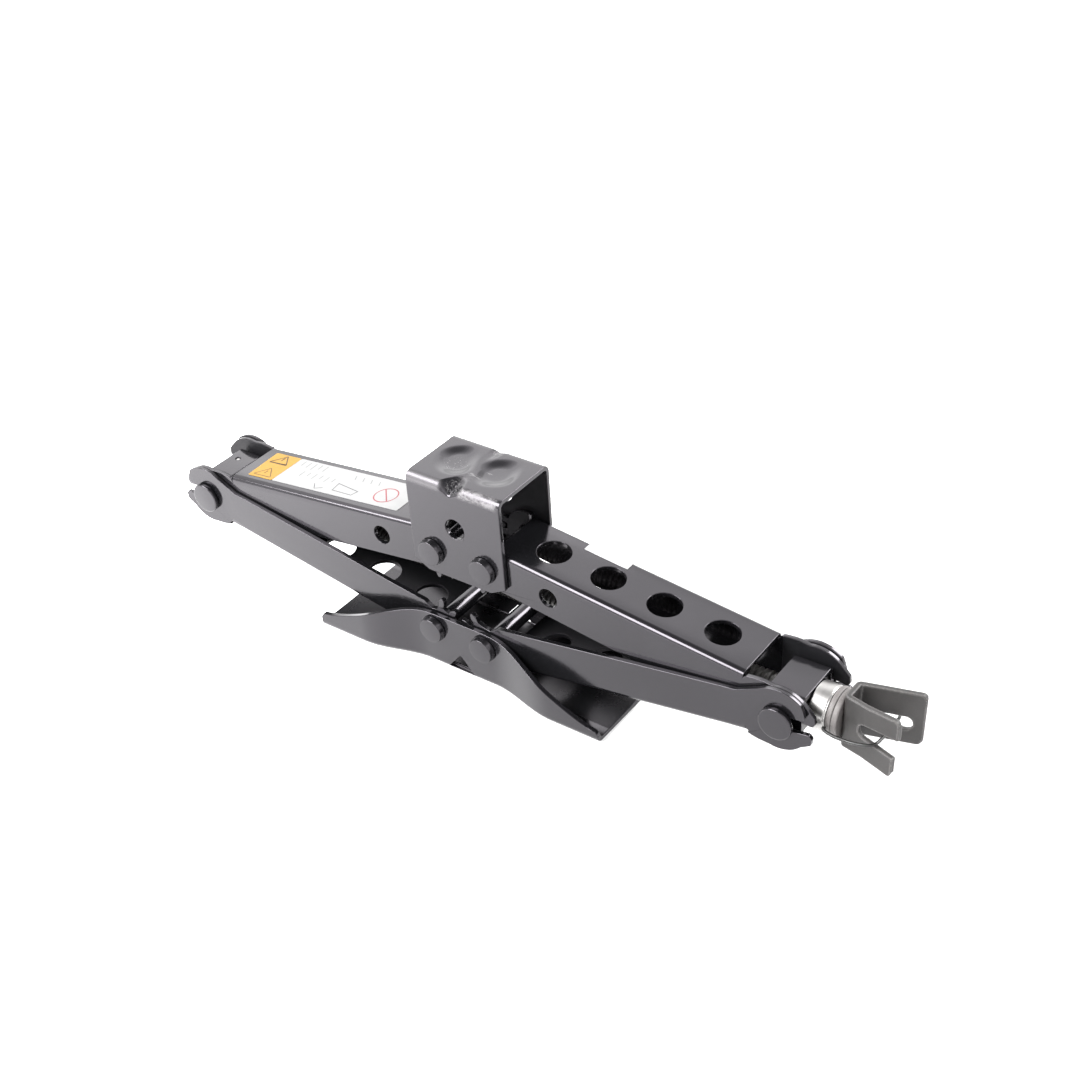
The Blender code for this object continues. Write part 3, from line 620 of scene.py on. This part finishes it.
def ear_outline(web_top, web_lobe, open_lobe):
    """The hooked ear around the end pin, whose bore opens to a slot at the arm's end."""
    bore = END_SHANK + GAP
    mouth = math.sqrt(bore * bore - SLOT_HALF * SLOT_HALF)
    mouth_angle = math.degrees(math.asin(SLOT_HALF / bore))
    points = [(-18 * MM, web_top), (-15.5 * MM, web_top + 0.25 * (web_lobe - web_top)),
              (-12 * MM, (web_top + web_lobe) / 2)]
    points += arc((0, 0), web_lobe, 110, 48, 16)
    points += [(16.9 * MM, 9.8 * MM), (17.9 * MM, 6 * MM), (16.6 * MM, SLOT_HALF), (mouth, SLOT_HALF)]
    points += arc((0, 0), bore, mouth_angle + 18, 342 - mouth_angle, 30)
    points += [(mouth, -SLOT_HALF), (13.2 * MM, -SLOT_HALF), (15.4 * MM, -5.4 * MM),
               (14.8 * MM, -9.5 * MM)]
    points += arc((0, 0), open_lobe, -42, -118, 18)
    return [(ARM_LENGTH + x, z) for x, z in points]


# what comes before the first tooth on the lower and on the upper arms
RELIEF = [(6.8 * MM, -11 * MM), (4 * MM, -9.8 * MM), (1.2 * MM, -10.6 * MM)]
FILLED = [polar(ROOT_RADIUS, 62), polar(ROOT_RADIUS, 68)]


def flange_lines(web, open_edge, lobes, teeth, before_teeth):
    """The flange's edge, going round once: up to the bend, along it, and from it on."""
    first_tooth, tooth_count = teeth
    points = [(9.5 * MM, -open_edge)] + before_teeth
    for index in range(tooth_count):
        points += tooth(first_tooth + index * 360 / TEETH)
    last = first_tooth + (tooth_count - 1) * 360 / TEETH
    root_start, root_end = last + 17, 278
    points += [polar(ROOT_RADIUS, root_start + step * (root_end - root_start) / 20)
               for step in range(21)]
    (start_x, start_z), (end_x, end_z) = web
    bend_line = [(start_x + (end_x - start_x) * i / 4, start_z + (end_z - start_z) * i / 4 - BEND)
                 for i in range(5)]
    neck = [(end_x + 0.5 * MM, end_z - BEND + 1.4 * MM), (end_x + 1.7 * MM, end_z - 0.8 * MM)]
    after = neck + ear_outline(end_z, *lobes) + [(ARM_LENGTH - 22 * MM, -open_edge)]
    before = soften(points, 0.7 * MM, closed=False, steps=3)
    return before, bend_line, soften(after, 1.3 * MM, closed=False)


def fill(work, loops):
    """Fills flat loops of vertices, the first one around the others."""
    edges = []
    for loop in loops:
        for first, second in zip(loop, loop[1:] + loop[:1]):
            edges.append(work.edges.get((first, second)) or work.edges.new((first, second)))
    bmesh.ops.triangle_fill(work, use_beauty=True, use_dissolve=False, edges=edges)


def build_arm(name, half, web, open_edge, lobes, teeth, before_teeth, first_web_hole, flange_hole):
    """One channel folded from sheet, in the arm's own place."""
    before, bend_line, after = flange_lines(web, open_edge, lobes, teeth, before_teeth)
    holes = [circle((0, 0), CENTRE_SHANK + GAP)]
    if flange_hole:
        holes.append(circle((FLANGE_HOLE_PLACE, 0), FLANGE_HOLE_RADIUS))
    work = bmesh.new()
    bend_verts = {}
    for side in (-1, 1):
        outer, bend_verts[side], ear, *inner = (
            [work.verts.new((x, side * half, z)) for x, z in line]
            for line in (before, bend_line, after, *holes))
        fill(work, [outer + bend_verts[side] + ear, *inner])
    rows = []
    for i, (x, z) in enumerate(bend_line):
        curl = arc((half - BEND, z), BEND, 0, 90, BEND_STEPS)[1:]
        row = [bend_verts[-1][i]]
        row += [work.verts.new((x, -y, height)) for y, height in curl]
        row += [work.verts.new((x, y, height)) for y, height in reversed(curl)]
        row.append(bend_verts[1][i])
        rows.append(row)
    skin(work, rows)
    face_outwards(work, (0, 0, 1))
    arm = thicken(clean(to_object(work, name)), SHEET)
    if first_web_hole:
        places = [(first_web_hole + i * WEB_HOLE_PITCH, 0, web[0][1]) for i in range(WEB_HOLES)]
        arm = cut(arm, [cylinder(WEB_HOLE_RADIUS, 20 * MM, place, "Z") for place in places])
    return clean(arm)


def flare(obj):
    """Widens a lower arm towards its centre pin."""
    with editing(obj) as work:
        slice_up(work, 0, (FLARE_END, FLARE_START))
        for vert in work.verts:
            blend = min(max((FLARE_START - vert.co.x) / (FLARE_START - FLARE_END), 0), 1)
            vert.co.y *= 1 + (FLARE - 1) * blend


def build_arms():
    """All four arms; teeth are given as (angle of the first tooth in degrees, number)."""
    upper_teeth = {"right": (97, 4), "left": (82, 4)}
    lower_teeth = {"right": (112, 3), "left": (97, 4)}
    for word in ("right", "left"):
        first_web_hole = 28.5 * MM if word == "right" else None
        arm = build_arm("upper_channel_" + word, UPPER_HALF, UPPER_WEB, 11.9 * MM,
                        (18.3 * MM, 17 * MM), upper_teeth[word], FILLED, first_web_hole, True)
        for vert in arm.data.vertices:
            if vert.co.y > 0 and 5 * MM < vert.co.x < 152 * MM and vert.co.z < -11 * MM:
                vert.co.z -= FAR_FLANGE_EXTRA
        arm.data.transform(arm_place(word, SADDLE_PIN, REST_ANGLE))
        round_edges(arm, EDGE)
        finish(arm, UPPER_ARM_PAINT, "upper_" + word, ["upper_arm_" + word])

        arm = build_arm("lower_channel_" + word, LOWER_HALF, LOWER_WEB, 12.5 * MM,
                        (16.7 * MM, 18.9 * MM), lower_teeth[word], RELIEF, 24.3 * MM, False)
        flare(arm)
        arm.data.transform(Matrix.Scale(-1, 4, (0, 0, 1)))
        arm.data.flip_normals()
        arm.data.transform(arm_place(word, BASE_PIN, -REST_ANGLE))
        round_edges(arm, EDGE)
        finish(arm, LOWER_ARM_PAINT, "lower_" + word, ["lower_arm_" + word])


# ------------ base

def pin_holes(pin, depth):
    """Tools for the holes of the two pins in the base or the saddle."""
    return [cylinder(CENTRE_SHANK + GAP, depth, (side * pin.x, 0, pin.z)) for side in (-1, 1)]


def build_base():
    """A channel that is narrow and high between its pins, and wide and low at its ends."""
    length = 95 * MM
    waist, end_half, hump, bend = 28.2 * MM, 36.3 * MM, 34.5 * MM, 4 * MM
    left_lip, right_lip, end_round, sheet = 9.6 * MM, 7 * MM, 2.4 * MM, 2.8 * MM
    half_steps = 48
    sections = []
    for i in range(2 * half_steps + 1):
        x = length * (i / half_steps - 1)
        half = waist + (end_half - waist) * smooth_step((abs(x) - 22 * MM) / (42 * MM))
        fall = min(max((abs(x) - 15 * MM) / (80 * MM), 0), 1)
        lip = left_lip if x < 0 else right_lip
        height = lip + (hump - lip) * max(math.cos(math.pi / 2 * fall), 0) ** 1.6
        past = max(abs(x) - (length - end_round), 0)
        height -= end_round - math.sqrt(max(end_round ** 2 - past * past, 0))
        side = [(half, height)] + arc((half - bend, bend), bend, 0, -90, BEND_STEPS)
        sections.append(both_sides(x, side))
    base = lofted("base_channel", sections, sheet, (0, 0, -1))
    notch = soften([(-9.4 * MM, 1.6 * MM), (9.4 * MM, 1.6 * MM), (0.4 * MM, 12 * MM),
                    (-0.8 * MM, 12 * MM)], 0.4 * MM, steps=3)
    tools = [plate("notch", [notch], 8 * MM, side * (waist - sheet + 3.8 * MM)) for side in (-1, 1)]
    tools += pin_holes(BASE_PIN, 80 * MM)
    base = clean(cut(base, tools), 0.1)
    round_edges(base, 0.4 * MM)
    finish(base, BASE_PAINT, "base", ["base_plate"])


# ------------ pins

def centre_pin(name, node, head_inner, body):
    """A rivet through base or saddle with a head on both sides."""
    head_outer = head_inner + CENTRE_HEAD_HEIGHT
    edge = soften([(0, head_outer), (CENTRE_HEAD_RADIUS, head_outer),
                   (CENTRE_HEAD_BASE, head_inner), (CENTRE_SHANK, head_inner), (CENTRE_SHANK, 0)],
                  0.45 * MM, closed=False, steps=5)
    profile = edge[:-1] + [(radius, -y) for radius, y in reversed(edge[:-1])]
    pin = turned(name, profile)
    pin.data.transform(Matrix.Translation(middle_of(node)))
    finish(pin, PAINT, body, [node])


def end_pin(node, side, word):
    """A stepped rivet through one ear pair into the yoke."""
    inner = LOWER_HALF + GAP
    outer = inner + END_HEAD_HEIGHT
    shoulder, tail = 16.5 * MM, 13 * MM
    profile = soften([(0, outer), (END_HEAD_RADIUS, outer), (END_HEAD_RADIUS, inner),
                      (END_SHANK, inner), (END_SHANK, shoulder), (SPIGOT, shoulder), (SPIGOT, tail),
                      (0, tail)], 0.9 * MM, closed=False, steps=5)
    pin = turned(node.replace("yoke_pin", "rivet"), profile)
    if side > 0:
        pin.data.transform(Matrix.Rotation(math.pi, 4, "Z"))
    place = middle_of(node)
    pin.data.transform(Matrix.Translation((place.x, 0, place.z)))
    finish(pin, PAINT, word, [node])


def build_pins():
    for word in ("left", "right"):
        centre_pin("base_rivet_" + word, "base_pin_" + word, 28.5 * MM, "base")
        centre_pin("saddle_rivet_" + word, "saddle_pin_" + word, 22.5 * MM, "saddle")
    for word in ("nut", "thrust"):
        for face, side in (("front", -1), ("back", 1)):
            end_pin(f"{word}_yoke_pin_{face}", side, word)


# ------------ saddle

def groove_dip(x, y):
    """The dents at the two bends: a wide notch in front that narrows inwards, a small one behind."""
    if y < 0:
        reach = smooth_step((-y - 10 * MM) / (12 * MM))
        middle, half, depth = -1.6 * MM * reach, (3.4 + 4.4 * reach) * MM, (0.15 + 5.25 * reach) * MM
    else:
        reach = smooth_step((y - 7 * MM) / (14 * MM))
        middle, half, depth = 0.5 * MM * reach, (3.4 + 0.8 * reach) * MM, (0.15 + 0.95 * reach) * MM
    across = abs(x - middle) / half
    return depth * max(1.04 - math.sqrt(across * across + 0.012), 0)


DISHES = ((12.8 * MM, 1.5 * MM, 12.6 * MM), (-13.4 * MM, 0.5 * MM, 12.9 * MM))


def dish_dip(x, y):
    """Two shallow pressed dishes, a little out of round."""
    dip = 0
    x, y = x + 1.1 * MM * math.sin(y / (5 * MM)), y + 1 * MM * math.sin(x / (6 * MM) + 1)
    for centre_x, centre_y, radius in DISHES:
        distance = math.hypot(x - centre_x, (y - centre_y) * 0.88) / radius
        dip += 1.1 * MM * smooth_step((1 - distance) / 0.6) + 0.6 * MM * max(1 - distance ** 2, 0)
    return dip


def build_saddle():
    """The notched bracket; its pressed shapes fade out down its sides."""
    half, length, bend, sheet = 22.2 * MM, 30.3 * MM, 4.5 * MM, 2.6 * MM
    low_middle, low_end, corner = 59.2 * MM, 64.2 * MM, 9.5 * MM
    fade_height = 17 * MM
    fade_end = SADDLE_TOP - fade_height
    flat = half - bend
    sections = []
    for step in range(101):
        x = -length + 2 * length * step / 100
        taper = min(max((length - abs(x)) / corner, 0), 1)
        low = low_end + (low_middle - low_end) * taper
        side = [(half, low)] + [(half, fade_end + i * 1.5 * MM) for i in range(8)]
        side += arc((flat, SADDLE_TOP - bend), bend, 0, 90, 10)
        middle = [(-flat + 2 * flat * i / 32, SADDLE_TOP) for i in range(1, 32)]
        section = []
        for px, py, pz in both_sides(x, side, middle):
            fade = min(max((pz - fade_end) / fade_height, 0), 1)
            dip = groove_dip(px, py) * fade * fade + dish_dip(px, py) * fade
            section.append((px, py, pz - dip))
        sections.append(section)
    saddle = lofted("saddle_channel", sections, sheet, (0, 0, 1))
    tools = pin_holes(SADDLE_PIN, 60 * MM)
    side_hole_radius, side_hole_height = 6 * MM, 92.3 * MM
    tools.append(cylinder(side_hole_radius, 60 * MM, (0, 0, side_hole_height)))
    saddle = clean(cut(saddle, tools), 0.05, below=fade_end - 0.2 * MM)
    with editing(saddle) as work:
        weight = work.edges.layers.float.new("bevel_weight_edge")
        for edge in work.edges:
            middle = (edge.verts[0].co + edge.verts[1].co) / 2
            sharp = edge.calc_face_angle(0) > math.radians(60)
            at_rim = abs(middle.x) > length - MM or middle.z < fade_end
            edge[weight] = 1 if sharp and at_rim else 0
    round_edges(saddle, 0.4 * MM).modifiers["edge"].limit_method = "WEIGHT"
    saddle = bake(saddle)
    with editing(saddle) as work:
        slice_up(work, 0, [i * 5 * MM for i in range(-5, 6)])
        slice_up(work, 2, [(68 + i * 6) * MM for i in range(5)])
    finish(even_normals(saddle), WORN_PAINT, "saddle", ["saddle_bracket"])


# ------------ yokes and screw

OIL_HOLE, OIL_HOLE_RADIUS = (1.3 * MM, 4.7 * MM), 1.5 * MM


def build_yoke(name, node, low_x, high_x, centre_x, top_hole, body):
    """An inverted U between the end pins, with its ends given from the pins' axis."""
    half, top, bottom, bend = 16.2 * MM, 12.2 * MM, -12 * MM, 4 * MM
    side = [(half, bottom)] + arc((half - bend, top - bend), bend, 0, 90, BEND_STEPS)
    sections = [both_sides(x, side) for x in (low_x, high_x)]
    yoke = lofted(name, sections, 3 * MM, (0, 0, 1))
    tools = [cylinder(SPIGOT + GAP, 60 * MM, (0, 0, 0))]
    if top_hole:
        tools.append(cylinder(OIL_HOLE_RADIUS, 10 * MM, (*OIL_HOLE, top), "Z", 32))
    yoke = clean(cut(yoke, tools))
    yoke.data.transform(Matrix.Translation((centre_x, 0, END_PIN.z)))
    round_edges(yoke, 0.45 * MM, 3)
    finish(yoke, PAINT, body, [node])


def build_button():
    """A small bright button in the hole of the nut yoke's top."""
    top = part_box("nut_yoke")[1].z
    profile = soften([(0, -0.5 * MM), (1.25 * MM, -0.5 * MM), (1.25 * MM, -2 * MM), (0, -2 * MM)],
                     0.7 * MM, closed=False, steps=5)
    button = turned("oil_hole_button", profile, "X", 32)
    button.data.transform(Matrix.Translation((OIL_HOLE[0] - END_PIN.x, OIL_HOLE[1], top))
                          @ Matrix.Rotation(-math.pi / 2, 4, "Y"))
    finish(button, ZINC, "nut", [])


def build_screw():
    """The lead screw: a trapezoidal thread, and a plain neck at the crank end.

    The thread's shape is given as (share of the pitch, share of the depth).
    """
    low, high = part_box("lead_screw")
    thread_end = 200 * MM
    crest, root, pitch, chamfer, neck_radius = 7 * MM, 5.6 * MM, 3 * MM, 1.5 * MM, 5 * MM
    around = 40
    shape = [(0, 0), (0.34, 0), (0.5, 1), (0.84, 1)]
    work = bmesh.new()
    rows = []
    turns = int((thread_end - low.x) / pitch) + 2
    stations = [(turn + share, deep) for turn in range(-1, turns) for share, deep in shape]
    for station, deep in stations:
        row = []
        for i in range(around):
            angle = 2 * math.pi * i / around
            x = low.x + (station + i / around) * pitch
            radius = crest - (crest - root) * deep
            x = min(max(x, low.x), thread_end)
            if x <= low.x + chamfer:
                radius = min(radius, crest - chamfer + (x - low.x))
            place = (x, radius * math.cos(angle), END_PIN.z + radius * math.sin(angle))
            row.append(work.verts.new(place))
        rows.append(row)
    skin(work, rows)
    per_turn = len(shape)
    for index in range(len(rows) - per_turn - 1):
        here, turned_on = rows[index], rows[index + per_turn]
        following, next_on = rows[index + 1], rows[index + per_turn + 1]
        work.faces.new((here[around - 1], turned_on[0], next_on[0], following[around - 1]))
    bmesh.ops.remove_doubles(work, verts=work.verts, dist=0.002 * MM)
    bmesh.ops.holes_fill(work, edges=[edge for edge in work.edges if edge.is_boundary], sides=0)
    bmesh.ops.recalc_face_normals(work, faces=work.faces)
    screw = to_object(work, "screw_thread")
    neck_start = thread_end - 1 * MM
    neck = turned("neck", soften([(0, high.x), (neck_radius, high.x), (neck_radius, neck_start),
                                  (0, neck_start)], 0.5 * MM, closed=False), "X")
    neck.data.transform(SCREW_PLACE)
    with editing(screw) as work:
        work.from_mesh(neck.data)
    bpy.data.objects.remove(neck, do_unlink=True)
    screw.data.shade_smooth()
    screw.data.set_sharp_from_angle(angle=math.radians(35))
    finish(screw, STEEL, "screw", ["lead_screw"])


def ring(name, node, profile, material):
    """A ring on the screw from its profile of (radius, x), highest x first."""
    obj = turned(name, profile + profile[:1], "X", 96)
    obj.data.transform(SCREW_PLACE)
    obj.data.set_sharp_from_angle(angle=math.radians(50))
    finish(obj, material, "screw", [node])


def build_rings():
    bore = 5.3 * MM
    low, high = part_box("thrust_bush")
    radius = high.z - END_PIN.z
    step_radius = radius - 0.5 * MM
    bush = soften([(bore, high.x), (step_radius, high.x), (step_radius, high.x - 0.7 * MM),
                   (radius, high.x - 0.9 * MM), (radius, low.x), (bore, low.x)],
                  0.8 * MM, closed=False, steps=5)
    ring("bush_turned", "thrust_bush", bush, ZINC)
    low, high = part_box("thrust_washer")
    middle = (low.x + high.x) / 2
    radius = high.z - END_PIN.z
    washer = soften([(bore, high.x), (radius, high.x), (radius, middle + 0.3 * MM),
                     (radius - 1 * MM, middle), (radius, middle - 0.3 * MM), (radius, low.x),
                     (bore, low.x)], 1.5 * MM, closed=False, steps=6)
    ring("washer_rolled", "thrust_washer", washer, WASHER_GREY)


CRANK_PLACE = SCREW_PLACE @ Matrix.Rotation(math.radians(-4.4), 4, "X")


def build_clevis():
    """A strip bent into a U, one cheek forked and splayed, the other slotted."""
    back, near_tip, far_tip = 216.3 * MM, 246.9 * MM, 249 * MM
    half_back, near_half, far_half = 7.6 * MM, 14.8 * MM, 15.3 * MM
    low_edge, high_edge, bend, corner = -13.3 * MM, 15.9 * MM, 3 * MM, 2.5 * MM
    slot_back, slot_end, slot_half = 229.5 * MM, 240.5 * MM, 3.7 * MM
    near_slot, far_slot = 1.6 * MM, -1.9 * MM
    far_rise, upper_splay, lower_splay = 1.3 * MM, 2.4 * MM, -2.2 * MM
    near_side, far_side = (
        soften([(end, half), (back + bend * 0.4, half_back), (back, half_back - bend * 0.6),
                (back, 0)], bend, closed=False, steps=5)[:-1]
        for end, half in ((near_tip, near_half), (far_tip, far_half)))
    path = [(x, -y) for x, y in near_side] + [(x, y) for x, y in reversed(far_side)]
    sections = [[(x, y, z) for x, y in path] for z in (low_edge, high_edge)]
    clevis = lofted("clevis_fork", sections, 3 * MM, (-1, 0, 0))
    open_slot = [(far_tip + 5 * MM, near_slot + slot_half),
                 *arc((slot_back, near_slot), slot_half, 90, 270, 20),
                 (far_tip + 5 * MM, near_slot - slot_half)]
    closed_slot = (arc((slot_back, far_slot), slot_half, 90, 270, 20)
                   + arc((slot_end, far_slot), slot_half, -90, 90, 20))
    tools = [plate("slot", [open_slot], 12 * MM, -10.8 * MM),
             plate("slot", [closed_slot], 12 * MM, 10.8 * MM)]
    for face, stop in ((-1, near_tip), (1, far_tip)):
        for end, z in ((-1, low_edge), (1, high_edge)):
            outline = arc((stop - corner, z - end * corner), corner, 90 * end, 0, 6)
            outline += [(stop + 3 * MM, z - end * corner), (stop + 3 * MM, z + end * 2 * MM),
                        (stop - corner, z + end * 2 * MM)]
            tools.append(plate("corner", [outline], 20 * MM, face * far_half))
    clevis = clean(cut(clevis, tools), 1.5, 0.4 * MM)
    clevis = bake(round_edges(clevis, 0.5 * MM, 3, 76))
    with editing(clevis) as work:
        slice_up(work, 0, [back + i * 2 * MM for i in range(1, 16)])
        slice_up(work, 2, [near_slot])
        for vert in work.verts:
            if vert.co.y > 0:
                vert.co.z += far_rise * (vert.co.x - back) / (far_tip - back)
            elif vert.co.x > slot_back:
                along = (vert.co.x - slot_back) / (far_tip - slot_back)
                vert.co.y += along * (upper_splay if vert.co.z > near_slot else lower_splay)
    clevis.data.transform(CRANK_PLACE)
    finish(even_normals(clevis), PHOSPHATE, "screw", ["crank_clevis"])


def build_clip():
    """The sprung wire through both slots, from points in millimetres around the screw's axis."""
    route = [(210.6, -13.2, -2), (210.2, -14.4, -1.2), (211, -14.6, -2.3), (213.5, -15.4, -2.7),
             (219, -16.2, -2.6), (227, -16.8, -1.6), (233, -16.4, -0.4), (236.4, -14.6, 0),
             (237.4, -11, 0), (237.6, 0, 0), (237.4, 11, 0), (236.4, 14.6, 0), (233, 16.4, 0.6),
             (226, 16.8, 1.2), (217, 16.2, 1.2), (209, 15.4, 0.8), (204, 14.2, 0.2)]
    curve = bpy.data.curves.new("clip_wire", "CURVE")
    curve.dimensions = "3D"
    curve.bevel_depth = 0.85 * MM
    curve.bevel_resolution = 4
    curve.use_fill_caps = True
    curve.resolution_u = 8
    spline = curve.splines.new("NURBS")
    spline.points.add(len(route) - 1)
    spline.order_u = 3
    spline.use_endpoint_u = True
    for point, (x, y, z) in zip(spline.points, route):
        point.co = (x * MM, y * MM, z * MM, 1)
    wire = add_object("clip_wire", curve)
    wire.matrix_world = CRANK_PLACE
    wire = bake(wire)
    wire.data.shade_smooth()
    finish(wire, BLACK_WIRE, "screw", ["wire_clip"])


# ------------ labels

# the top of a layer over the web, and its thickness
FILM = (0.2 * MM, 0.15 * MM)
PRINT = (0.23 * MM, 0.02 * MM)


def stick(name, outlines, layer, material, nodes=()):
    """A flat figure of (x, y) outlines in millimetres on the left upper arm's web."""
    lift, thickness = layer
    work = bmesh.new()
    loops = [[work.verts.new((x * MM, y * MM, web_height(x * MM) + lift)) for x, y in outline]
             for outline in outlines]
    fill(work, loops)
    face_outwards(work, (0, 0, 1))
    figure = thicken(clean(to_object(work, name), 0.05), thickness)
    figure.data.transform(arm_place("left", SADDLE_PIN, REST_ANGLE))
    finish(figure, material, "upper_left", nodes)


def inset(points, width):
    """Moves each corner of a convex outline inwards, for drawing it as a thin frame."""
    result = []
    for i, point in enumerate(points):
        here = Vector(point)
        before = Vector(points[i - 1]) - here
        after = Vector(points[(i + 1) % len(points)]) - here
        inwards = (before.normalized() + after.normalized()).normalized()
        half_angle = before.angle(after) / 2
        result.append(tuple(here + inwards * width / max(math.sin(half_angle), 0.3)))
    return result


def framed(name, points, width, material):
    stick(name, [points, inset(points, width)], PRINT, material)


def bar(name, start, end, width, material):
    """A straight line of print."""
    along = (Vector(end) - Vector(start)).normalized() * width / 2
    side = Vector((-along.y, along.x))
    corners = [Vector(start) + side, Vector(end) + side, Vector(end) - side, Vector(start) - side]
    stick(name, [[tuple(corner) for corner in corners]], PRINT, material)


def build_labels():
    """The label's film, and plain shapes and lines in place of its print, in millimetres."""
    sheet = soften([(30.2, -12.9), (30.2, 12.4), (124.6, 13.2), (124.6, -12.9)], 1, steps=4)
    stick("label_sheet", [sheet], FILM, WHITE_FILM, ["caution_label"])
    panel = soften([(124.8, -12.9), (124.8, 13.2), (143.6, 13.4), (144.8, -12.9)], 1, steps=4)
    stick("label_panel", [panel], FILM, YELLOW_FILM, ["caution_label"])
    framed("sign_far", soften([(134.6, -12.1), (142.6, -2.6), (127.6, -2.6)], 0.8), 0.7, DARK_INK)
    framed("sign_near", soften([(134.6, 2.2), (141.6, 11.4), (127.2, 11.4)], 0.8), 0.45, DARK_INK)
    bar("sign_far_mark", (135, -9.6), (135.4, -6.4), 0.9, DARK_INK)
    bar("sign_near_mark", (134.6, 5.6), (134.9, 8.6), 0.6, DARK_INK)
    rings = [circle((46.9, 1.6), radius) for radius in (7.4, 6.7)]
    stick("sign_ring", rings, PRINT, RED_INK)
    bar("sign_slash", (51.4, -3.6), (42.4, 6.6), 0.7, RED_INK)
    framed("figure_box", [(82.7, 1.1), (81.5, 8.8), (66.6, 9.3), (65.2, 4.3)], 0.5, GREY_INK)
    for index in range(5):
        x = 119.5 - 4.4 * index
        bar(f"line_far_{index}", (x, -11.2), (x - 0.2, -6.6 + (index % 3)), 0.5, PALE_INK)
    for index in range(6):
        x = 112 - 4.8 * index
        bar(f"line_mid_{index}", (x, -2), (x, 3.4 - (index % 2) * 1.6), 0.45, PALE_INK)
    for index in range(4):
        x = 78 - 6 * index
        bar(f"line_near_{index}", (x, -9), (x - 1.8, -5.2), 0.45, PALE_INK)
    bar("figure_leg", (96.5, 6.6), (93, 11), 0.4, GREY_INK)
    bar("figure_arm", (93, 11), (88.6, 8.6), 0.4, GREY_INK)


def build_sticker():
    """A small blank sticker over the far bend of the right upper arm."""
    start, end, edge = 39.3 * MM, 66 * MM, 11.5 * MM
    flat = UPPER_HALF - BEND
    lift, thickness = FILM
    sections = []
    for i in range(9):
        x = start + (end - start) * i / 8
        top = web_height(x)
        row = [(x, edge, top + lift), (x, (edge + flat) / 2, top + lift)]
        row += [(x, y, z) for y, z in
                arc((flat, top - BEND), BEND + lift, 90, 0, BEND_STEPS)]
        row.append((x, UPPER_HALF + lift, top - BEND - 1 * MM))
        sections.append(row)
    sticker = lofted("sticker_film", sections, thickness, (0, 0, 1))
    sticker.data.transform(arm_place("right", SADDLE_PIN, REST_ANGLE))
    sticker.data.shade_smooth()
    finish(sticker, STICKER_FILM, "upper_right", ["blank_sticker"])


build_arms()
build_base()
build_pins()
build_saddle()
build_yoke("nut_housing", "nut_yoke", -5 * MM, 11.5 * MM, -END_PIN.x, True, "nut")
build_yoke("thrust_housing", "thrust_yoke", -10 * MM, 10 * MM, END_PIN.x, False, "thrust")
build_button()
build_screw()
build_rings()
build_clevis()
build_clip()
build_labels()
build_sticker()

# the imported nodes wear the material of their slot
SLOT_MATERIALS = {"black_paint": PAINT, "dark_steel": STEEL, "zinc_plate": ZINC,
                  "phosphated_steel": PHOSPHATE, "label_film": WHITE_FILM}
for row in frame["record"]["subparts"]:
    node = frame["nodes"][row["node"]]
    node.data.materials.clear()
    node.data.materials.append(SLOT_MATERIALS[row["material_slot"]])


# ------------ studio

def build_studio():
    """A white floor that glows as painted light, brighter towards the left, and a tent of grey bands
    around it.
    """
    work = bmesh.new()
    bmesh.ops.create_grid(work, x_segments=8, y_segments=8, size=4)
    floor = to_object(work, "floor")
    floor.location.z = -0.2 * MM
    n = Nodes("glowing_floor")
    # painted light: the floor glows, and glows and reflects more towards the left, so the jack's
    # glossy faces pick up more light on that side
    leftness = n.range(n.split("X"), 0.10, -0.24)
    tone = n.mix(leftness, (0.56, 0.56, 0.56), (0.78, 0.78, 0.78))
    n.set(Base_Color=n.mix(n.ramp(n.noise(3), [(0.3, 0), (0.7, 0.04)]), tone, (0.8, 0.8, 0.8)),
          Roughness=0.85, Emission_Color=n.mix(leftness, (0.38, 0.38, 0.38), (1, 1, 1)),
          Emission_Strength=1.3, Specular_IOR_Level=0.1)
    floor.data.materials.append(n.owner)

    n = Nodes("tent", bpy.data.worlds, "Background", "Generated")
    bands = [(0, 0.62), (0.35, 0.5), (0.57, 0.45), (0.70, 0.7), (0.77, 0.5), (0.86, 0.16),
             (1, 0.06)]
    n.set(Color=n.ramp(n.split("Z"), bands), Strength=4)
    bpy.context.scene.world = n.owner


def area_light(name, direction, distance, size, power):
    """A softbox that looks at the middle of the jack."""
    light = bpy.data.lights.new(name, "AREA")
    light.shape = "RECTANGLE"
    light.size, light.size_y = size
    light.energy = power
    obj = add_object(name, light)
    aim = Vector((0, 0, 0.06))
    obj.location = aim + Vector(direction).normalized() * distance
    obj.rotation_mode = "QUATERNION"
    obj.rotation_quaternion = (aim - obj.location).to_track_quat("-Z", "Y")


def build_camera():
    """The camera, with its lens, place and axes solved from the photograph."""
    data = bpy.data.cameras.new("camera")
    data.sensor_width = 36
    data.lens = 55.437
    data.clip_start = 0.01
    camera = add_object("camera", data)
    right = Vector((0.81194582, 0.58082711, -0.05817092))
    up = Vector((-0.29501266, 0.49429655, 0.81770315))
    back = Vector((0.50369784, -0.6467695, 0.57269337))
    turn = Matrix((right, up, back)).transposed()
    camera.matrix_world = Matrix.Translation((0.471262, -0.556067, 0.578659)) @ turn.to_4x4()
    bpy.context.scene.camera = camera


build_studio()
area_light("front_softbox", (-0.44, -0.61, 0.66), 1.6, (1.3, 0.8), 68)
area_light("back_window", (-0.72, 0.78, 0.64), 1.3, (0.8, 0.6), 2.2)
area_light("right_window", (0.50, 0.62, 0.58), 1.4, (0.7, 0.5), 20)
build_camera()
bpy.context.scene.view_settings.view_transform = "Standard"
bpy.context.scene.view_settings.look = "None"
